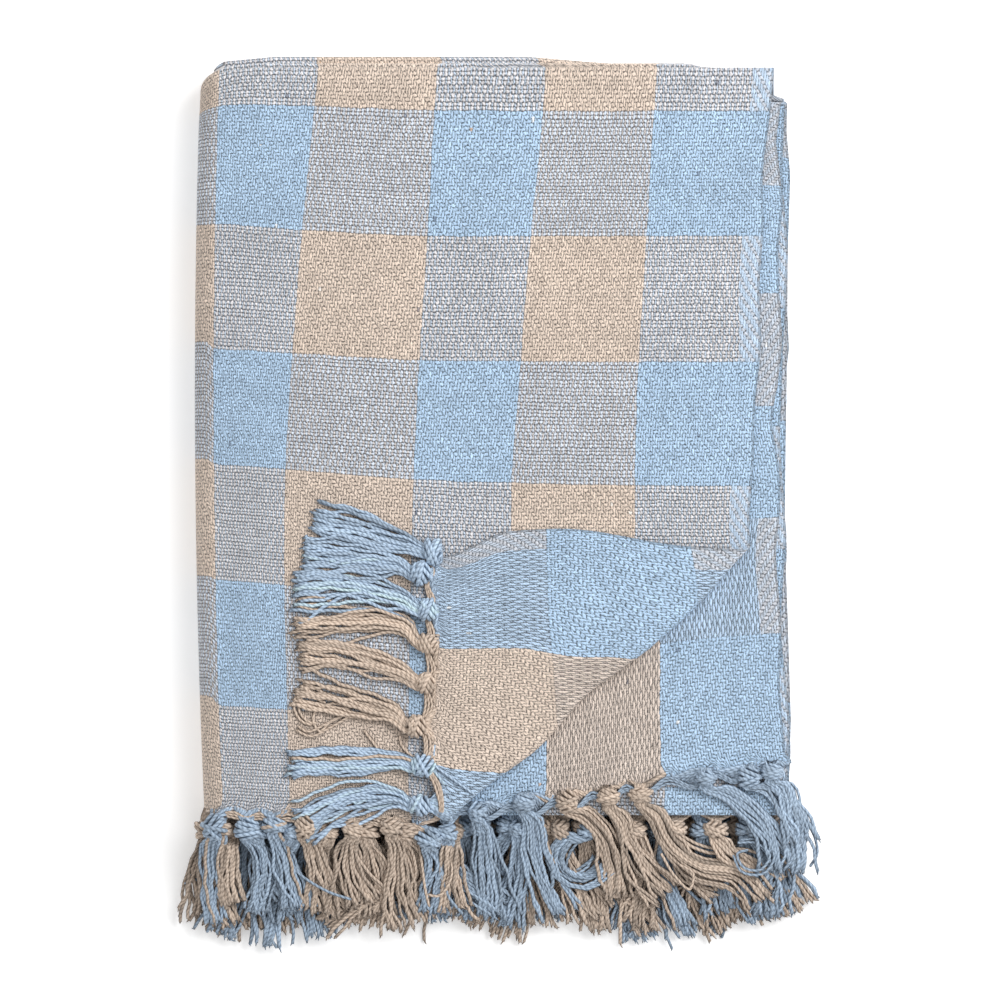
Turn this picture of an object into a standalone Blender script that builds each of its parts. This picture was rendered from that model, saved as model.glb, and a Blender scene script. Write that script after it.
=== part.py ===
"""A checked cotton throw with knotted fringes, folded in four both ways and lying flat.

Metres, +Z up. The bottom layer lies on z = 0, the hems face -Y and the closed side folds face -X.
The near right corner of the top layer is turned back over it, so its hem and fringe point to -X.

The throw was folded hem to hem, then in half again, then twice across. A place in the folded throw
is named by its level, 0 to 3, which is the layer within one strip of four, and by its panel, one of
the four strips that the two cross folds lay on each other.
"""

import math

import bmesh
import bpy
from mathutils import Vector

# The cloth, flat
CLOTH_WIDTH = 1.30
SHEET_THICKNESS = 0.0012

# The stack of layers
LAYERS = 16
LAYER_PITCH = 0.0022
FOLD_BULGE = 0.8
SIDE_FOLD_X = -0.149
TOP_FOLD_Y = 0.208
BOTTOM_FOLD_Y = -0.207

# The four strips across, from the first selvedge to the last. Layers count from 1 at the top.
PANELS = (
    {"name": "first", "layer": 8, "layer_step": -1, "top_shift": 0.0045, "open_edge": 1},
    {"name": "second", "layer": 9, "layer_step": 1, "top_shift": 0.0025, "open_edge": 0},
    {"name": "third", "layer": 16, "layer_step": -1, "top_shift": -0.0010, "open_edge": 0},
    {"name": "fourth", "layer": 1, "layer_step": 1, "top_shift": 0.0, "open_edge": 1},
)
HALF_HEIGHTS_OF_SIDE_FOLDS = (0.5, 3.5, 7.5)

# How far the two selvedges reach past the open side's line, a row for each level
SELVEDGES = (
    {"level": 0, "first": 0.0020, "fourth": -0.0090},
    {"level": 1, "first": 0.0060, "fourth": 0.0030},
    {"level": 2, "first": 0.0030, "fourth": 0.0060},
    {"level": 3, "first": 0.0070, "fourth": 0.0080},
)

# The runs of the cloth from its first hem to its last: the level each lies on, and its ends
RUNS_ALONG = (
    {"level": 0, "from_y": -0.209, "to_y": TOP_FOLD_Y},
    {"level": 3, "from_y": TOP_FOLD_Y, "to_y": BOTTOM_FOLD_Y},
    {"level": 2, "from_y": BOTTOM_FOLD_Y, "to_y": TOP_FOLD_Y},
    {"level": 1, "from_y": TOP_FOLD_Y, "to_y": -0.209},
)

# Steps of the mesh
STEPS_ACROSS = 5
STEPS_ALONG = 6
FOLD_STEPS_ACROSS = (4, 6, 8)
FOLD_STEPS_ALONG = (6, 4, 4)

# The threads of the top layer lean with y, as a parabola
LEAN_OFFSET = -0.0032
LEAN_SLOPE = 0.0246
LEAN_BOW = 0.189
LEAN_FADE = 0.10
LEAN_HOLD_FROM_X = -0.05
LEAN_HOLD_TO_X = 0.10

# Rows of the two top layers that open or close towards the right
ROW_SPREADS = (
    {"layer": 1, "spread": 0.072, "from_x": -0.134, "to_x": 0.118},
    {"layer": 2, "spread": -0.058, "from_x": -0.020, "to_x": 0.165},
)

# Soft unevenness of the stack and of its open edges
HEAVE = 0.0008
HEAVE_WAVE_X = 0.37
HEAVE_WAVE_Y = 0.33
EDGE_WAVE = 0.0016
EDGE_WAVE_LENGTH = 0.085
EDGE_WAVE_FROM_X = 0.06
EDGE_PHASE_STEP = 2.1

# The corner that is turned back over the line x - y = FLAP_LINE
FLAP_LINE = 0.2003
FLAP_BEND_RADIUS = 0.0032
FLAP_SETTLE = 0.05
FLAP_BEND_STEPS = 5
FLAP_SETTLE_STEPS = 2

# Fringe
GAP = 0.0003
STRIP_WIDTH = 0.0022
TASSEL_PITCH = 0.0216
ROOT_HALF_WIDTH = 0.0040
KNOT_HALF_WIDTH = 0.0054
WAIST_HALF_WIDTH = 0.0044
WAIST_HALF_THICKNESS = 0.0013
MIDDLE_HALF_THICKNESS = 0.0010
TIP_HALF_THICKNESS = 0.0006
TASSEL_FILL = 0.86
TIP_NARROWING = 0.62
KNOT_LENGTH = 0.0065
LEAST_KNOT_LENGTH = 0.0055
WAIST_LENGTH = 0.0060
LOCK_LENGTH = 0.0200

# The eight hems in the stack, from the top down: half the knots' thickness, how far they are lifted,
# where the locks end, how many each tassel has and their sideways lean. The top hem has its fringe
# left of the turned corner only.
HEM_RUNS = (
    {"layer": 1, "half_knot": 0.0030, "lift": 0.0013, "tip_y": -0.2740, "locks": 3, "lean": -0.03},
    {"layer": 2, "half_knot": 0.0019, "lift": 0.0, "tip_y": -0.2790, "locks": 3, "lean": 0.12},
    {"layer": 7, "half_knot": 0.0019, "lift": 0.0, "tip_y": -0.2760, "locks": 2, "lean": 0.06},
    {"layer": 8, "half_knot": 0.0019, "lift": 0.0, "tip_y": -0.2800, "locks": 2, "lean": 0.10},
    {"layer": 9, "half_knot": 0.0019, "lift": 0.0, "tip_y": -0.2740, "locks": 2, "lean": 0.02},
    {"layer": 10, "half_knot": 0.0019, "lift": 0.0, "tip_y": -0.2800, "locks": 2, "lean": 0.08},
    {"layer": 15, "half_knot": 0.0019, "lift": 0.0, "tip_y": -0.2770, "locks": 2, "lean": 0.05},
    {"layer": 16, "half_knot": 0.0019, "lift": 0.0, "tip_y": -0.2790, "locks": 2, "lean": 0.10},
)

# Where the fringes pile up: the lowest run's middle height and the step from run to run
PILE = {
    "knot": {"y": -0.2180, "floor": 0.00205, "slot": 0.0043},
    "waist": {"y": -0.2245, "floor": WAIST_HALF_THICKNESS, "slot": 0.0043},
    "middle": {"y": -0.2470, "floor": MIDDLE_HALF_THICKNESS, "slot": 0.0029},
    "tip": {"y": -0.2790, "floor": TIP_HALF_THICKNESS, "slot": 0.0016},
}
FAN = 0.22
TIP_UNEVEN = 0.003
TOP_RUN_TASSELS = 6
STACK_EDGE_Y = -0.2105

# The second hem draws back to the right, where its knots rest on the layer below
RESTING_HALF_KNOT = 0.0026
RESTING_WAIST_HEIGHT = 0.0342
RESTING_RECESS = 0.0012

FLAP_TASSELS = 8
FLAP_CLEARANCE = 0.0006
FLAP_HALF_KNOT = 0.0032
FLAP_MIDDLE_LENGTH = 0.040
FLAP_TIP_LENGTH = 0.068
FLAP_LEAN = 0.10
FLAP_STRIP_START = 0.004

# Colours
CLOTH_COLOUR = (0.46, 0.50, 0.56)
FRINGE_COLOUR = (0.40, 0.42, 0.45)
COTTON_ROUGHNESS = 0.95

LEFT = -1
RIGHT = 1
UP = Vector((0, 0, 1))


def smooth_step(value, start, end):
    share = min(max((value - start) / (end - start), 0.0), 1.0)
    return share * share * (3 - 2 * share)


def layer_height(layer):
    """Height of a layer's middle surface; the layer may be a fraction inside a fold."""
    return SHEET_THICKNESS / 2 + (LAYERS - layer) * LAYER_PITCH


STACK_TOP = layer_height(1)


def selvedge_reach(panel, level):
    """How far an open edge reaches at a level, also between two of the table's levels."""
    low = min(int(level), len(SELVEDGES) - 2)
    start, end = SELVEDGES[low][panel], SELVEDGES[low + 1][panel]
    return start + (end - start) * (level - low)


def half_turn_length(half_height):
    """Length of the cloth in one side fold, which is half an ellipse."""
    bulge = FOLD_BULGE * half_height
    return math.pi * math.sqrt((bulge * bulge + half_height * half_height) / 2)


def panel_width():
    """Width of one strip: the cloth's width less what its three side folds take up, in four."""
    in_folds = sum(half_turn_length(half * LAYER_PITCH) for half in HALF_HEIGHTS_OF_SIDE_FOLDS)
    return (CLOTH_WIDTH - in_folds) / len(PANELS)


OPEN_SIDE_X = SIDE_FOLD_X + panel_width()


def fold_points(start, end, steps):
    """Bulge and place at the points inside a half turn between two layers, without its ends."""
    middle = (start + end) / 2
    radius = (start - end) / 2
    for step in range(1, steps):
        angle = math.pi * step / steps
        yield FOLD_BULGE * abs(radius) * math.sin(angle), middle + radius * math.cos(angle)


def run_points(start, end, steps):
    for step in range(steps + 1):
        yield start + (end - start) * step / steps


def profile_along():
    """Rows (y, level) from the first hem, up and down the four levels, to the last hem."""
    rows = []
    for index, run in enumerate(RUNS_ALONG):
        rows += [(y, float(run["level"])) for y in run_points(run["from_y"], run["to_y"], STEPS_ALONG)]
        if index == len(RUNS_ALONG) - 1:
            break
        side = RIGHT if run["to_y"] == TOP_FOLD_Y else LEFT
        turn = fold_points(run["level"], RUNS_ALONG[index + 1]["level"], FOLD_STEPS_ALONG[index])
        rows += [(run["to_y"] + side * bulge * LAYER_PITCH, level) for bulge, level in turn]
    return rows


def profile_across(level):
    """Rows (x, layer, top shift, open edge) from the first selvedge round the side folds to the last."""
    ends = (
        OPEN_SIDE_X + selvedge_reach("first", level),
        SIDE_FOLD_X,
        OPEN_SIDE_X,
        SIDE_FOLD_X,
        OPEN_SIDE_X + selvedge_reach("fourth", level),
    )
    rows = []
    for index, panel in enumerate(PANELS):
        layer = panel["layer"] + panel["layer_step"] * level
        xs = run_points(ends[index], ends[index + 1], STEPS_ACROSS)
        rows += [(x, layer, panel["top_shift"], panel["open_edge"]) for x in xs]
        if index == len(PANELS) - 1:
            break
        after = PANELS[index + 1]
        side = LEFT if ends[index + 1] == SIDE_FOLD_X else RIGHT
        steps = FOLD_STEPS_ACROSS[index]
        turn = fold_points(layer, after["layer"] + after["layer_step"] * level, steps)
        for step, (bulge, turning_layer) in enumerate(turn, start=1):
            shift = panel["top_shift"] + (after["top_shift"] - panel["top_shift"]) * step / steps
            rows.append((ends[index + 1] + side * bulge * LAYER_PITCH, turning_layer, shift, 0))
    return rows


def lean_at(y):
    return LEAN_OFFSET + LEAN_SLOPE * y + LEAN_BOW * y * y


def lie_askew(x, y, layer, open_edge):
    """Moves a point by the lean and the row spreads of the top layers and by the open edges' waves."""
    straightest = -LEAN_SLOPE / (2 * LEAN_BOW)
    held = smooth_step(x, LEAN_HOLD_FROM_X, LEAN_HOLD_TO_X)
    lean = lean_at(y) * (1 - held) + lean_at(max(y, straightest)) * held
    top = smooth_step(layer, 2.0, 1.0)
    near_fold = smooth_step(x, SIDE_FOLD_X + LEAN_FADE, SIDE_FOLD_X)
    wave = EDGE_WAVE * math.sin(2 * math.pi * y / EDGE_WAVE_LENGTH + EDGE_PHASE_STEP * layer * open_edge)
    spread = 0.0
    for row in ROW_SPREADS:
        weight = smooth_step(abs(layer - row["layer"]), 1.0, 0.0)
        spread += row["spread"] * weight * smooth_step(x, row["from_x"], row["to_x"])
    moved_x = x + lean * max(top, near_fold) + wave * smooth_step(x, EDGE_WAVE_FROM_X, OPEN_SIDE_X)
    return moved_x, y - (TOP_FOLD_Y - min(y, TOP_FOLD_Y)) * spread


def heave(point):
    """The stack's soft rise and fall, none at the floor and most at the top."""
    share = max(point.z - LAYER_PITCH, 0.0) / (STACK_TOP - LAYER_PITCH)
    wave_x = math.sin(2 * math.pi * point.x / HEAVE_WAVE_X + 0.7)
    wave_y = math.cos(2 * math.pi * point.y / HEAVE_WAVE_Y + 1.1)
    return Vector((point.x, point.y, point.z + HEAVE * share * wave_x * wave_y))


def flap_distance(point):
    """How far a point of the top layer lies past the line on which the corner turns back."""
    return (point.x - point.y - FLAP_LINE) / math.sqrt(2)


def turn_back(point):
    """Where a point of the flat top layer lies once the corner is turned back."""
    distance = flap_distance(point)
    if distance <= 0:
        return point.copy()
    bend = math.pi * FLAP_BEND_RADIUS
    if distance < bend:
        angle = distance / FLAP_BEND_RADIUS
        offset = FLAP_BEND_RADIUS * math.sin(angle)
        rise = FLAP_BEND_RADIUS * (1 - math.cos(angle))
    else:
        offset = bend - distance
        settled = smooth_step(distance - bend, 0.0, FLAP_SETTLE)
        rise = 2 * FLAP_BEND_RADIUS + (LAYER_PITCH - 2 * FLAP_BEND_RADIUS) * settled
    shift = (offset - distance) / math.sqrt(2)
    return Vector((point.x + shift, point.y - shift, point.z + rise))


def folded_rows():
    """Rows of points of the folded sheet before its corner is turned, from hem to hem."""
    rows = []
    for y, level in profile_along():
        share = smooth_step(y, BOTTOM_FOLD_Y, TOP_FOLD_Y)
        row = []
        for x, layer, top_shift, open_edge in profile_across(level):
            moved_x, moved_y = lie_askew(x, y + top_shift * share, layer, open_edge)
            row.append(Vector((moved_x, moved_y, layer_height(layer))))
        rows.append(row)
    return rows


def make_material(name, colour):
    material = bpy.data.materials.new(name)
    material.use_nodes = True
    shader = material.node_tree.nodes["Principled BSDF"]
    shader.inputs["Base Color"].default_value = (*colour, 1.0)
    shader.inputs["Roughness"].default_value = COTTON_ROUGHNESS
    shader.inputs["Metallic"].default_value = 0.0
    return material


def add_object(name, edited, material, collection):
    """Makes an object of an edited mesh."""
    mesh = bpy.data.meshes.new(name)
    edited.to_mesh(mesh)
    edited.free()
    mesh.materials.append(material)
    thing = bpy.data.objects.new(name, mesh)
    collection.objects.link(thing)
    return thing


def cut_faces(edited, faces, place, normal):
    """Cuts some faces of a mesh along a plane."""
    edges = {edge for face in faces for edge in face.edges}
    verts = {vert for face in faces for vert in face.verts}
    geometry = [*faces, *edges, *verts]
    bmesh.ops.bisect_plane(edited, geom=geometry, plane_co=place, plane_no=normal, dist=1e-6)


def crease_corner(sheet, tag):
    """Cuts the turned corner's crease lines into the tagged faces, and returns those faces' points."""
    bend = math.pi * FLAP_BEND_RADIUS
    distances = [bend * step / FLAP_BEND_STEPS for step in range(FLAP_BEND_STEPS + 1)]
    distances += [bend + FLAP_SETTLE * step / FLAP_SETTLE_STEPS for step in range(1, FLAP_SETTLE_STEPS + 1)]
    normal = Vector((1, -1, 0)).normalized()
    on_line = Vector((FLAP_LINE / 2, -FLAP_LINE / 2, 0))
    for distance in distances:
        cut_faces(sheet, [face for face in sheet.faces if face[tag]], on_line + normal * distance, normal)
    return {vert for face in sheet.faces if face[tag] for vert in face.verts}


def build_cloth(rows, material, collection):
    """The sheet: a flat grid laid into its folds, creased at the corner and given its thickness."""
    last_row = len(rows) - 1
    last_column = len(rows[0]) - 1
    sheet = bmesh.new()
    bmesh.ops.create_grid(sheet, x_segments=last_column, y_segments=last_row, size=1.0)
    tag = sheet.faces.layers.int.new("top")
    place = {}
    for vert in sheet.verts:
        place[vert] = (round((vert.co.x + 1) / 2 * last_column), round((vert.co.y + 1) / 2 * last_row))
    for face in sheet.faces:
        corners = [place[vert] for vert in face.verts]
        on_top = all(column >= last_column - STEPS_ACROSS and row <= STEPS_ALONG for column, row in corners)
        face[tag] = int(on_top)
    for vert, (column, row) in place.items():
        vert.co = rows[row][column]
    for vert in crease_corner(sheet, tag):
        vert.co = turn_back(vert.co)
    for vert in sheet.verts:
        vert.co = heave(vert.co)
    cloth = add_object("throw_cloth", sheet, material, collection)
    thickness = cloth.modifiers.new("thickness", "SOLIDIFY")
    thickness.thickness = SHEET_THICKNESS
    thickness.offset = 0.0
    thickness.use_even_offset = True


def hem_lines(rows):
    """The hem line of each layer that ends at the near side, as points from left to right."""
    found = {}
    for row in (rows[0], rows[-1]):
        column = 0
        for index in range(len(PANELS)):
            line = row[column : column + STEPS_ACROSS + 1]
            layer = round(LAYERS - (line[0].z - SHEET_THICKNESS / 2) / LAYER_PITCH)
            found[layer] = sorted(line, key=lambda point: point.x)
            if index < len(FOLD_STEPS_ACROSS):
                column += STEPS_ACROSS + FOLD_STEPS_ACROSS[index]
    return found


def point_on(line, x):
    """Point of a hem line at a given x."""
    for start, end in zip(line, line[1:]):
        if start.x <= x <= end.x:
            return start.lerp(end, (x - start.x) / (end.x - start.x))
    return line[0].copy() if x < line[0].x else line[-1].copy()


def past_the_fold(line, distance):
    """The x at which a hem line has come that far past the turned corner's line."""
    x = line[0].x
    while flap_distance(point_on(line, x)) < distance:
        x += GAP
    return x


def make_strip(line, outward, across, root_centres):
    """The narrow backing along a hem line, its front cut at both edges of each tassel's root."""
    span = [(point - line[0]).dot(across) for point in line]
    cuts = [centre + side * ROOT_HALF_WIDTH for centre in root_centres for side in (LEFT, RIGHT)]
    strip = bmesh.new()
    bmesh.ops.create_cube(strip, size=1.0)
    for vert in strip.verts:
        vert.co.x = span[0] if vert.co.x < 0 else span[-1]
    for cut in sorted([*span[1:-1], *cuts]):
        cut_faces(strip, list(strip.faces), Vector((cut, 0, 0)), Vector((1, 0, 0)))
    for vert in strip.verts:
        index = max([0] + [i for i in range(len(span) - 1) if span[i] <= vert.co.x])
        share = (vert.co.x - span[index]) / (span[index + 1] - span[index])
        depth = GAP if vert.co.y > 0 else GAP + STRIP_WIDTH
        rise = math.copysign(SHEET_THICKNESS / 2, vert.co.z)
        vert.co = line[index].lerp(line[index + 1], share) + outward * depth + UP * rise
    bmesh.ops.recalc_face_normals(strip, faces=strip.faces)
    return strip


def end_faces_near(edited, spot, outward, reach):
    """Faces that look outward and lie within reach of a spot, the nearest first."""
    facing = [face for face in edited.faces if face.normal.dot(outward) > 0.6]
    near = [face for face in facing if (face.calc_center_median() - spot).length < reach]
    return sorted(near, key=lambda face: (face.calc_center_median() - spot).length)


def extrude_to(edited, face, ring, across):
    """Extrudes a four-sided face to a ring, which has a centre and two half sizes, and returns it."""
    end = bmesh.ops.extrude_discrete_faces(edited, faces=[face])["faces"][0]
    middle = end.calc_center_median()
    for vert in end.verts:
        side = math.copysign(ring["half_width"], (vert.co - middle).dot(across))
        rise = math.copysign(ring["half_thickness"], vert.co.z - middle.z)
        vert.co = ring["centre"] + across * side + UP * rise
    edited.normal_update()
    return end


def split_end(edited, face, count, across):
    """Cuts an end face into faces side by side, and returns them from one side to the other."""
    centre = face.calc_center_median()
    outward = face.normal.copy()
    for cut in range(1, count):
        offset = WAIST_HALF_WIDTH * (2 * cut / count - 1)
        ends = end_faces_near(edited, centre, outward, WAIST_HALF_WIDTH)
        cut_faces(edited, ends, centre + across * offset, across)
    ends = end_faces_near(edited, centre, outward, WAIST_HALF_WIDTH)[:count]
    return sorted(ends, key=lambda part: part.calc_center_median().dot(across))


def add_tassel(strip, root_spot, tassel, across, outward):
    """Extrudes one tassel from the strip: a knot, then its locks side by side.

    The tassel's stations give the distance from the strip and the height of its middle.
    """
    root = end_faces_near(strip, root_spot, outward, TASSEL_PITCH)[0]
    start = root.calc_center_median()

    def ring(station, sideways, half_width, half_thickness):
        centre = start + outward * station["distance"] + across * sideways
        centre.z = station["height"]
        return {"centre": centre, "half_width": half_width, "half_thickness": half_thickness}

    knot = ring(tassel["knot"], 0.0, KNOT_HALF_WIDTH, tassel["half_knot"])
    waist = ring(tassel["waist"], 0.0, WAIST_HALF_WIDTH, WAIST_HALF_THICKNESS)
    end = extrude_to(strip, extrude_to(strip, root, knot, across), waist, across)
    cell = TASSEL_PITCH * TASSEL_FILL / tassel["locks"]
    half_width = cell / 2 - GAP
    for index, face in enumerate(split_end(strip, end, tassel["locks"], across)):
        spread = cell * (index - (tassel["locks"] - 1) / 2)
        middle_lean = tassel["lean"] * (tassel["middle"]["distance"] - tassel["waist"]["distance"])
        tip_lean = tassel["lean"] * (tassel["tip"]["distance"] - tassel["waist"]["distance"])
        middle = ring(tassel["middle"], middle_lean + spread, half_width, MIDDLE_HALF_THICKNESS)
        tip = ring(tassel["tip"], tip_lean + spread, half_width * TIP_NARROWING, TIP_HALF_THICKNESS)
        extrude_to(strip, extrude_to(strip, face, middle, across), tip, across)


def pile_height(name, above):
    return PILE[name]["floor"] + above * PILE[name]["slot"]


def pile_stations(run, above, root_y, tip_y):
    """A tassel's stations in the pile of fringes, where each run has its own slot of height."""
    stations = {}
    y = root_y
    for name, least in (("knot", LEAST_KNOT_LENGTH), ("waist", WAIST_LENGTH), ("middle", LOCK_LENGTH)):
        y = min(PILE[name]["y"], y - least)
        stations[name] = {"distance": root_y - y, "height": pile_height(name, above)}
    stations["knot"]["height"] += run["lift"]
    share = (tip_y - PILE["middle"]["y"]) / (PILE["tip"]["y"] - PILE["middle"]["y"])
    slot = PILE["middle"]["slot"] + (PILE["tip"]["slot"] - PILE["middle"]["slot"]) * share
    stations["tip"] = {"distance": root_y - tip_y, "height": PILE["tip"]["floor"] + above * slot}
    return stations


def resting_stations(stations, above, root_y):
    """Stations of a tassel whose hem has drawn back, so its knot rests on the layer below."""
    resting = dict(stations)
    rest = layer_height(HEM_RUNS[1]["layer"] + 1) + SHEET_THICKNESS / 2 + GAP
    waist_distance = KNOT_LENGTH + WAIST_LENGTH
    resting["knot"] = {"distance": KNOT_LENGTH, "height": rest + RESTING_HALF_KNOT}
    if root_y - waist_distance > STACK_EDGE_Y:
        resting["waist"] = {"distance": waist_distance, "height": RESTING_WAIST_HEIGHT}
        resting["middle"] = {"distance": root_y - PILE["waist"]["y"], "height": pile_height("waist", above)}
    else:
        height = (pile_height("waist", above) + rest) / 2
        resting["waist"] = {"distance": waist_distance, "height": height}
    return resting


def finish_fringe(name, strip, material, collection):
    for vert in strip.verts:
        vert.co = heave(vert.co)
    bmesh.ops.recalc_face_normals(strip, faces=strip.faces)
    add_object(name, strip, material, collection)


def build_hem_fringe(index, line, material, collection):
    """The fringe of one hem in the stack."""
    run = HEM_RUNS[index]
    outward = Vector((0, -1, 0))
    across = Vector((1, 0, 0))
    count = int((line[-1].x - line[0].x) / TASSEL_PITCH)
    if index == 0:
        end_x = past_the_fold(line, 0.0) - FLAP_STRIP_START
        line = [point for point in line if point.x < end_x] + [point_on(line, end_x)]
        count = TOP_RUN_TASSELS
    margin = (line[-1].x - line[0].x - (count - 1) * TASSEL_PITCH) / 2
    centres = [margin + TASSEL_PITCH * step for step in range(count)]
    strip = make_strip(line, outward, across, centres)
    above = len(HEM_RUNS) - 1 - index
    for centre in centres:
        x = line[0].x + centre
        root = point_on(line, x) + outward * (GAP + STRIP_WIDTH)
        tip_y = run["tip_y"] + TIP_UNEVEN * math.sin(90 * x + 1.7 * index)
        stations = pile_stations(run, above, root.y, tip_y)
        half_knot = run["half_knot"]
        if root.y - line[0].y + GAP + STRIP_WIDTH > RESTING_RECESS:
            stations = resting_stations(stations, above, root.y)
            half_knot = RESTING_HALF_KNOT
        fan = FAN * (2 * x - SIDE_FOLD_X - OPEN_SIDE_X) / (OPEN_SIDE_X - SIDE_FOLD_X)
        tassel = {
            **stations,
            "half_knot": half_knot,
            "locks": run["locks"],
            "lean": run["lean"] + fan,
        }
        add_tassel(strip, root, tassel, across, outward)
    finish_fringe(f"fringe_layer_{run['layer']:02d}", strip, material, collection)


def build_flap_fringe(line, material, collection):
    """The fringe on the turned corner's hem, which lies on the top layer and points to the left."""
    first_x = past_the_fold(line, math.pi * FLAP_BEND_RADIUS + FLAP_STRIP_START)
    flat_line = [point_on(line, first_x)] + [point for point in line if point.x > first_x]
    turned = sorted((turn_back(point) for point in flat_line), key=lambda point: point.y)
    outward = Vector((-1, 0, 0))
    across = Vector((0, 1, 0))
    pitch = (turned[-1].y - turned[0].y) / FLAP_TASSELS
    centres = [pitch * (step + 0.5) for step in range(FLAP_TASSELS)]
    strip = make_strip(turned, outward, across, centres)
    surface = STACK_TOP + SHEET_THICKNESS / 2 + FLAP_CLEARANCE
    tassel = {
        "knot": {"distance": KNOT_LENGTH, "height": surface + FLAP_HALF_KNOT},
        "waist": {"distance": KNOT_LENGTH + WAIST_LENGTH, "height": surface + WAIST_HALF_THICKNESS},
        "middle": {"distance": FLAP_MIDDLE_LENGTH, "height": surface + MIDDLE_HALF_THICKNESS},
        "tip": {"distance": FLAP_TIP_LENGTH, "height": surface + TIP_HALF_THICKNESS},
        "half_knot": FLAP_HALF_KNOT,
        "locks": 3,
        "lean": FLAP_LEAN,
    }
    for centre in centres:
        spot = Vector((turned[0].x, turned[0].y + centre, turned[0].z))
        add_tassel(strip, spot, tassel, across, outward)
    finish_fringe("fringe_flap", strip, material, collection)


def main():
    for thing in list(bpy.data.objects):
        bpy.data.objects.remove(thing, do_unlink=True)
    collection = bpy.data.collections.new("folded_throw")
    bpy.context.scene.collection.children.link(collection)
    cotton = make_material("checked_cotton", CLOTH_COLOUR)
    yarn = make_material("fringe_yarn", FRINGE_COLOUR)
    rows = folded_rows()
    build_cloth(rows, cotton, collection)
    hems = hem_lines(rows)
    for index, run in enumerate(HEM_RUNS):
        build_hem_fringe(index, hems[run["layer"]], yarn, collection)
    build_flap_fringe(hems[1], yarn, collection)


main()
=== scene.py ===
"""A folded cotton throw in pale blue and beige checks, with knotted two-ply fringe.

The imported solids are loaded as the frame. One woven sheet is laid over the cloth solid's folds, and
each run of fringe becomes knotted tassels of separate yarns. All sizes are metres, unless a table
says that it is in millimetres.
"""

import logging
import math
from dataclasses import dataclass
from enum import Enum
from typing import Sequence

import bmesh
import bpy
import numpy as np
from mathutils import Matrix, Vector


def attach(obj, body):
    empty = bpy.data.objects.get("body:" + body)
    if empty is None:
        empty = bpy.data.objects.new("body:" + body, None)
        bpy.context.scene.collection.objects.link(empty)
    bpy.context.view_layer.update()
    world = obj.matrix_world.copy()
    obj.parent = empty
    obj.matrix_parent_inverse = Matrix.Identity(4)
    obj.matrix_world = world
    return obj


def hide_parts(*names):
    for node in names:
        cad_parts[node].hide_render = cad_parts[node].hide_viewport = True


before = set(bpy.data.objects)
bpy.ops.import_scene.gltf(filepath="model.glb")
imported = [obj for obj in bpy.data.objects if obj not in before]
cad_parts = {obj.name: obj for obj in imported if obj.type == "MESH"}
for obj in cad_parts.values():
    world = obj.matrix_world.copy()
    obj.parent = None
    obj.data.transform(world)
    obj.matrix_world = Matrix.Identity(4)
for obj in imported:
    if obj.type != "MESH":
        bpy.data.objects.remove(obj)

Four = tuple[float, float, float, float]
Triple = tuple[float, float, float]
Pair = tuple[float, float]
Numbers = tuple[float, ...]
Draws = np.random.Generator
Array = np.ndarray
Piece = bpy.types.Object
Material = bpy.types.Material
EditMesh = bmesh.types.BMesh

LOG = logging.getLogger("throw")
SEED = 20
MILLIMETRES = 1000
TOLERANCE = 1e-6
NOT_ZERO = 1e-12
UP = np.array([0, 0, 1.0])


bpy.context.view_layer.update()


def smooth_step(value: Array, start: float, end: float) -> Array:
    """Rises smoothly from 0 at start to 1 at end.

    Args:
        value: Numbers to test.
        start: Where the rise begins.
        end: Where it is complete; it may be less than start.

    Returns:
        The smooth share for each number.
    """
    share = np.clip((np.asarray(value, float) - start) / (end - start), 0.0, 1.0)
    return share * share * (3 - 2 * share)


def curve_weights(knots: Array, places: Array) -> Array:
    """Weights that carry values at knots to places between them on a smooth curve.

    Args:
        knots: Rising positions of the known values.
        places: Positions to work out, held within the knots' range.

    Returns:
        A matrix with a row for each place and a column for each knot.
    """
    count = len(knots)
    gaps = np.diff(knots)
    unit = np.eye(count)
    slopes = np.diff(unit, axis=0) / gaps[:, None]
    tangents = np.zeros((count, count))
    tangents[0], tangents[-1] = slopes[0], slopes[-1]
    for index in range(1, count - 1):
        before, after = gaps[index - 1], gaps[index]
        tangents[index] = (slopes[index - 1] * after + slopes[index] * before) / (before + after)
    held = np.clip(places, knots[0], knots[-1])
    cell = np.clip(np.searchsorted(knots, held, side="right") - 1, 0, count - 2)
    gap = gaps[cell][:, None]
    part = ((held - knots[cell]) / gaps[cell])[:, None]
    return (
        (2 * part**3 - 3 * part**2 + 1) * unit[cell]
        + (part**3 - 2 * part**2 + part) * gap * tangents[cell]
        + (3 * part**2 - 2 * part**3) * unit[cell + 1]
        + (part**3 - part**2) * gap * tangents[cell + 1]
    )


def walked(points: Array) -> Array:
    """Measures lines from their starts.

    Args:
        points: One line or several, with station and axis last.

    Returns:
        The distance walked along its line to each station.
    """
    steps = np.linalg.norm(np.diff(points, axis=-2), axis=-1)
    return np.concatenate([np.zeros((*steps.shape[:-1], 1)), np.cumsum(steps, axis=-1)], axis=-1)


def lengthened(vectors: Array) -> Array:
    """Returns vectors at a length of 1."""
    return vectors / (np.linalg.norm(vectors, axis=-1, keepdims=True) + NOT_ZERO)


def linear(red: int, green: int, blue: int) -> Triple:
    """Turns a display colour into linear light, by the usual display curve.

    Args:
        red: Its red part, from 0 to 255.
        green: Its green part.
        blue: Its blue part.

    Returns:
        The same colour's parts, from 0 to 1.
    """
    parts = [value / 255 for value in (red, green, blue)]
    light = [part / 12.92 if part <= 0.04045 else ((part + 0.055) / 1.055) ** 2.4 for part in parts]
    return light[0], light[1], light[2]


# ---------------- the folds


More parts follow.
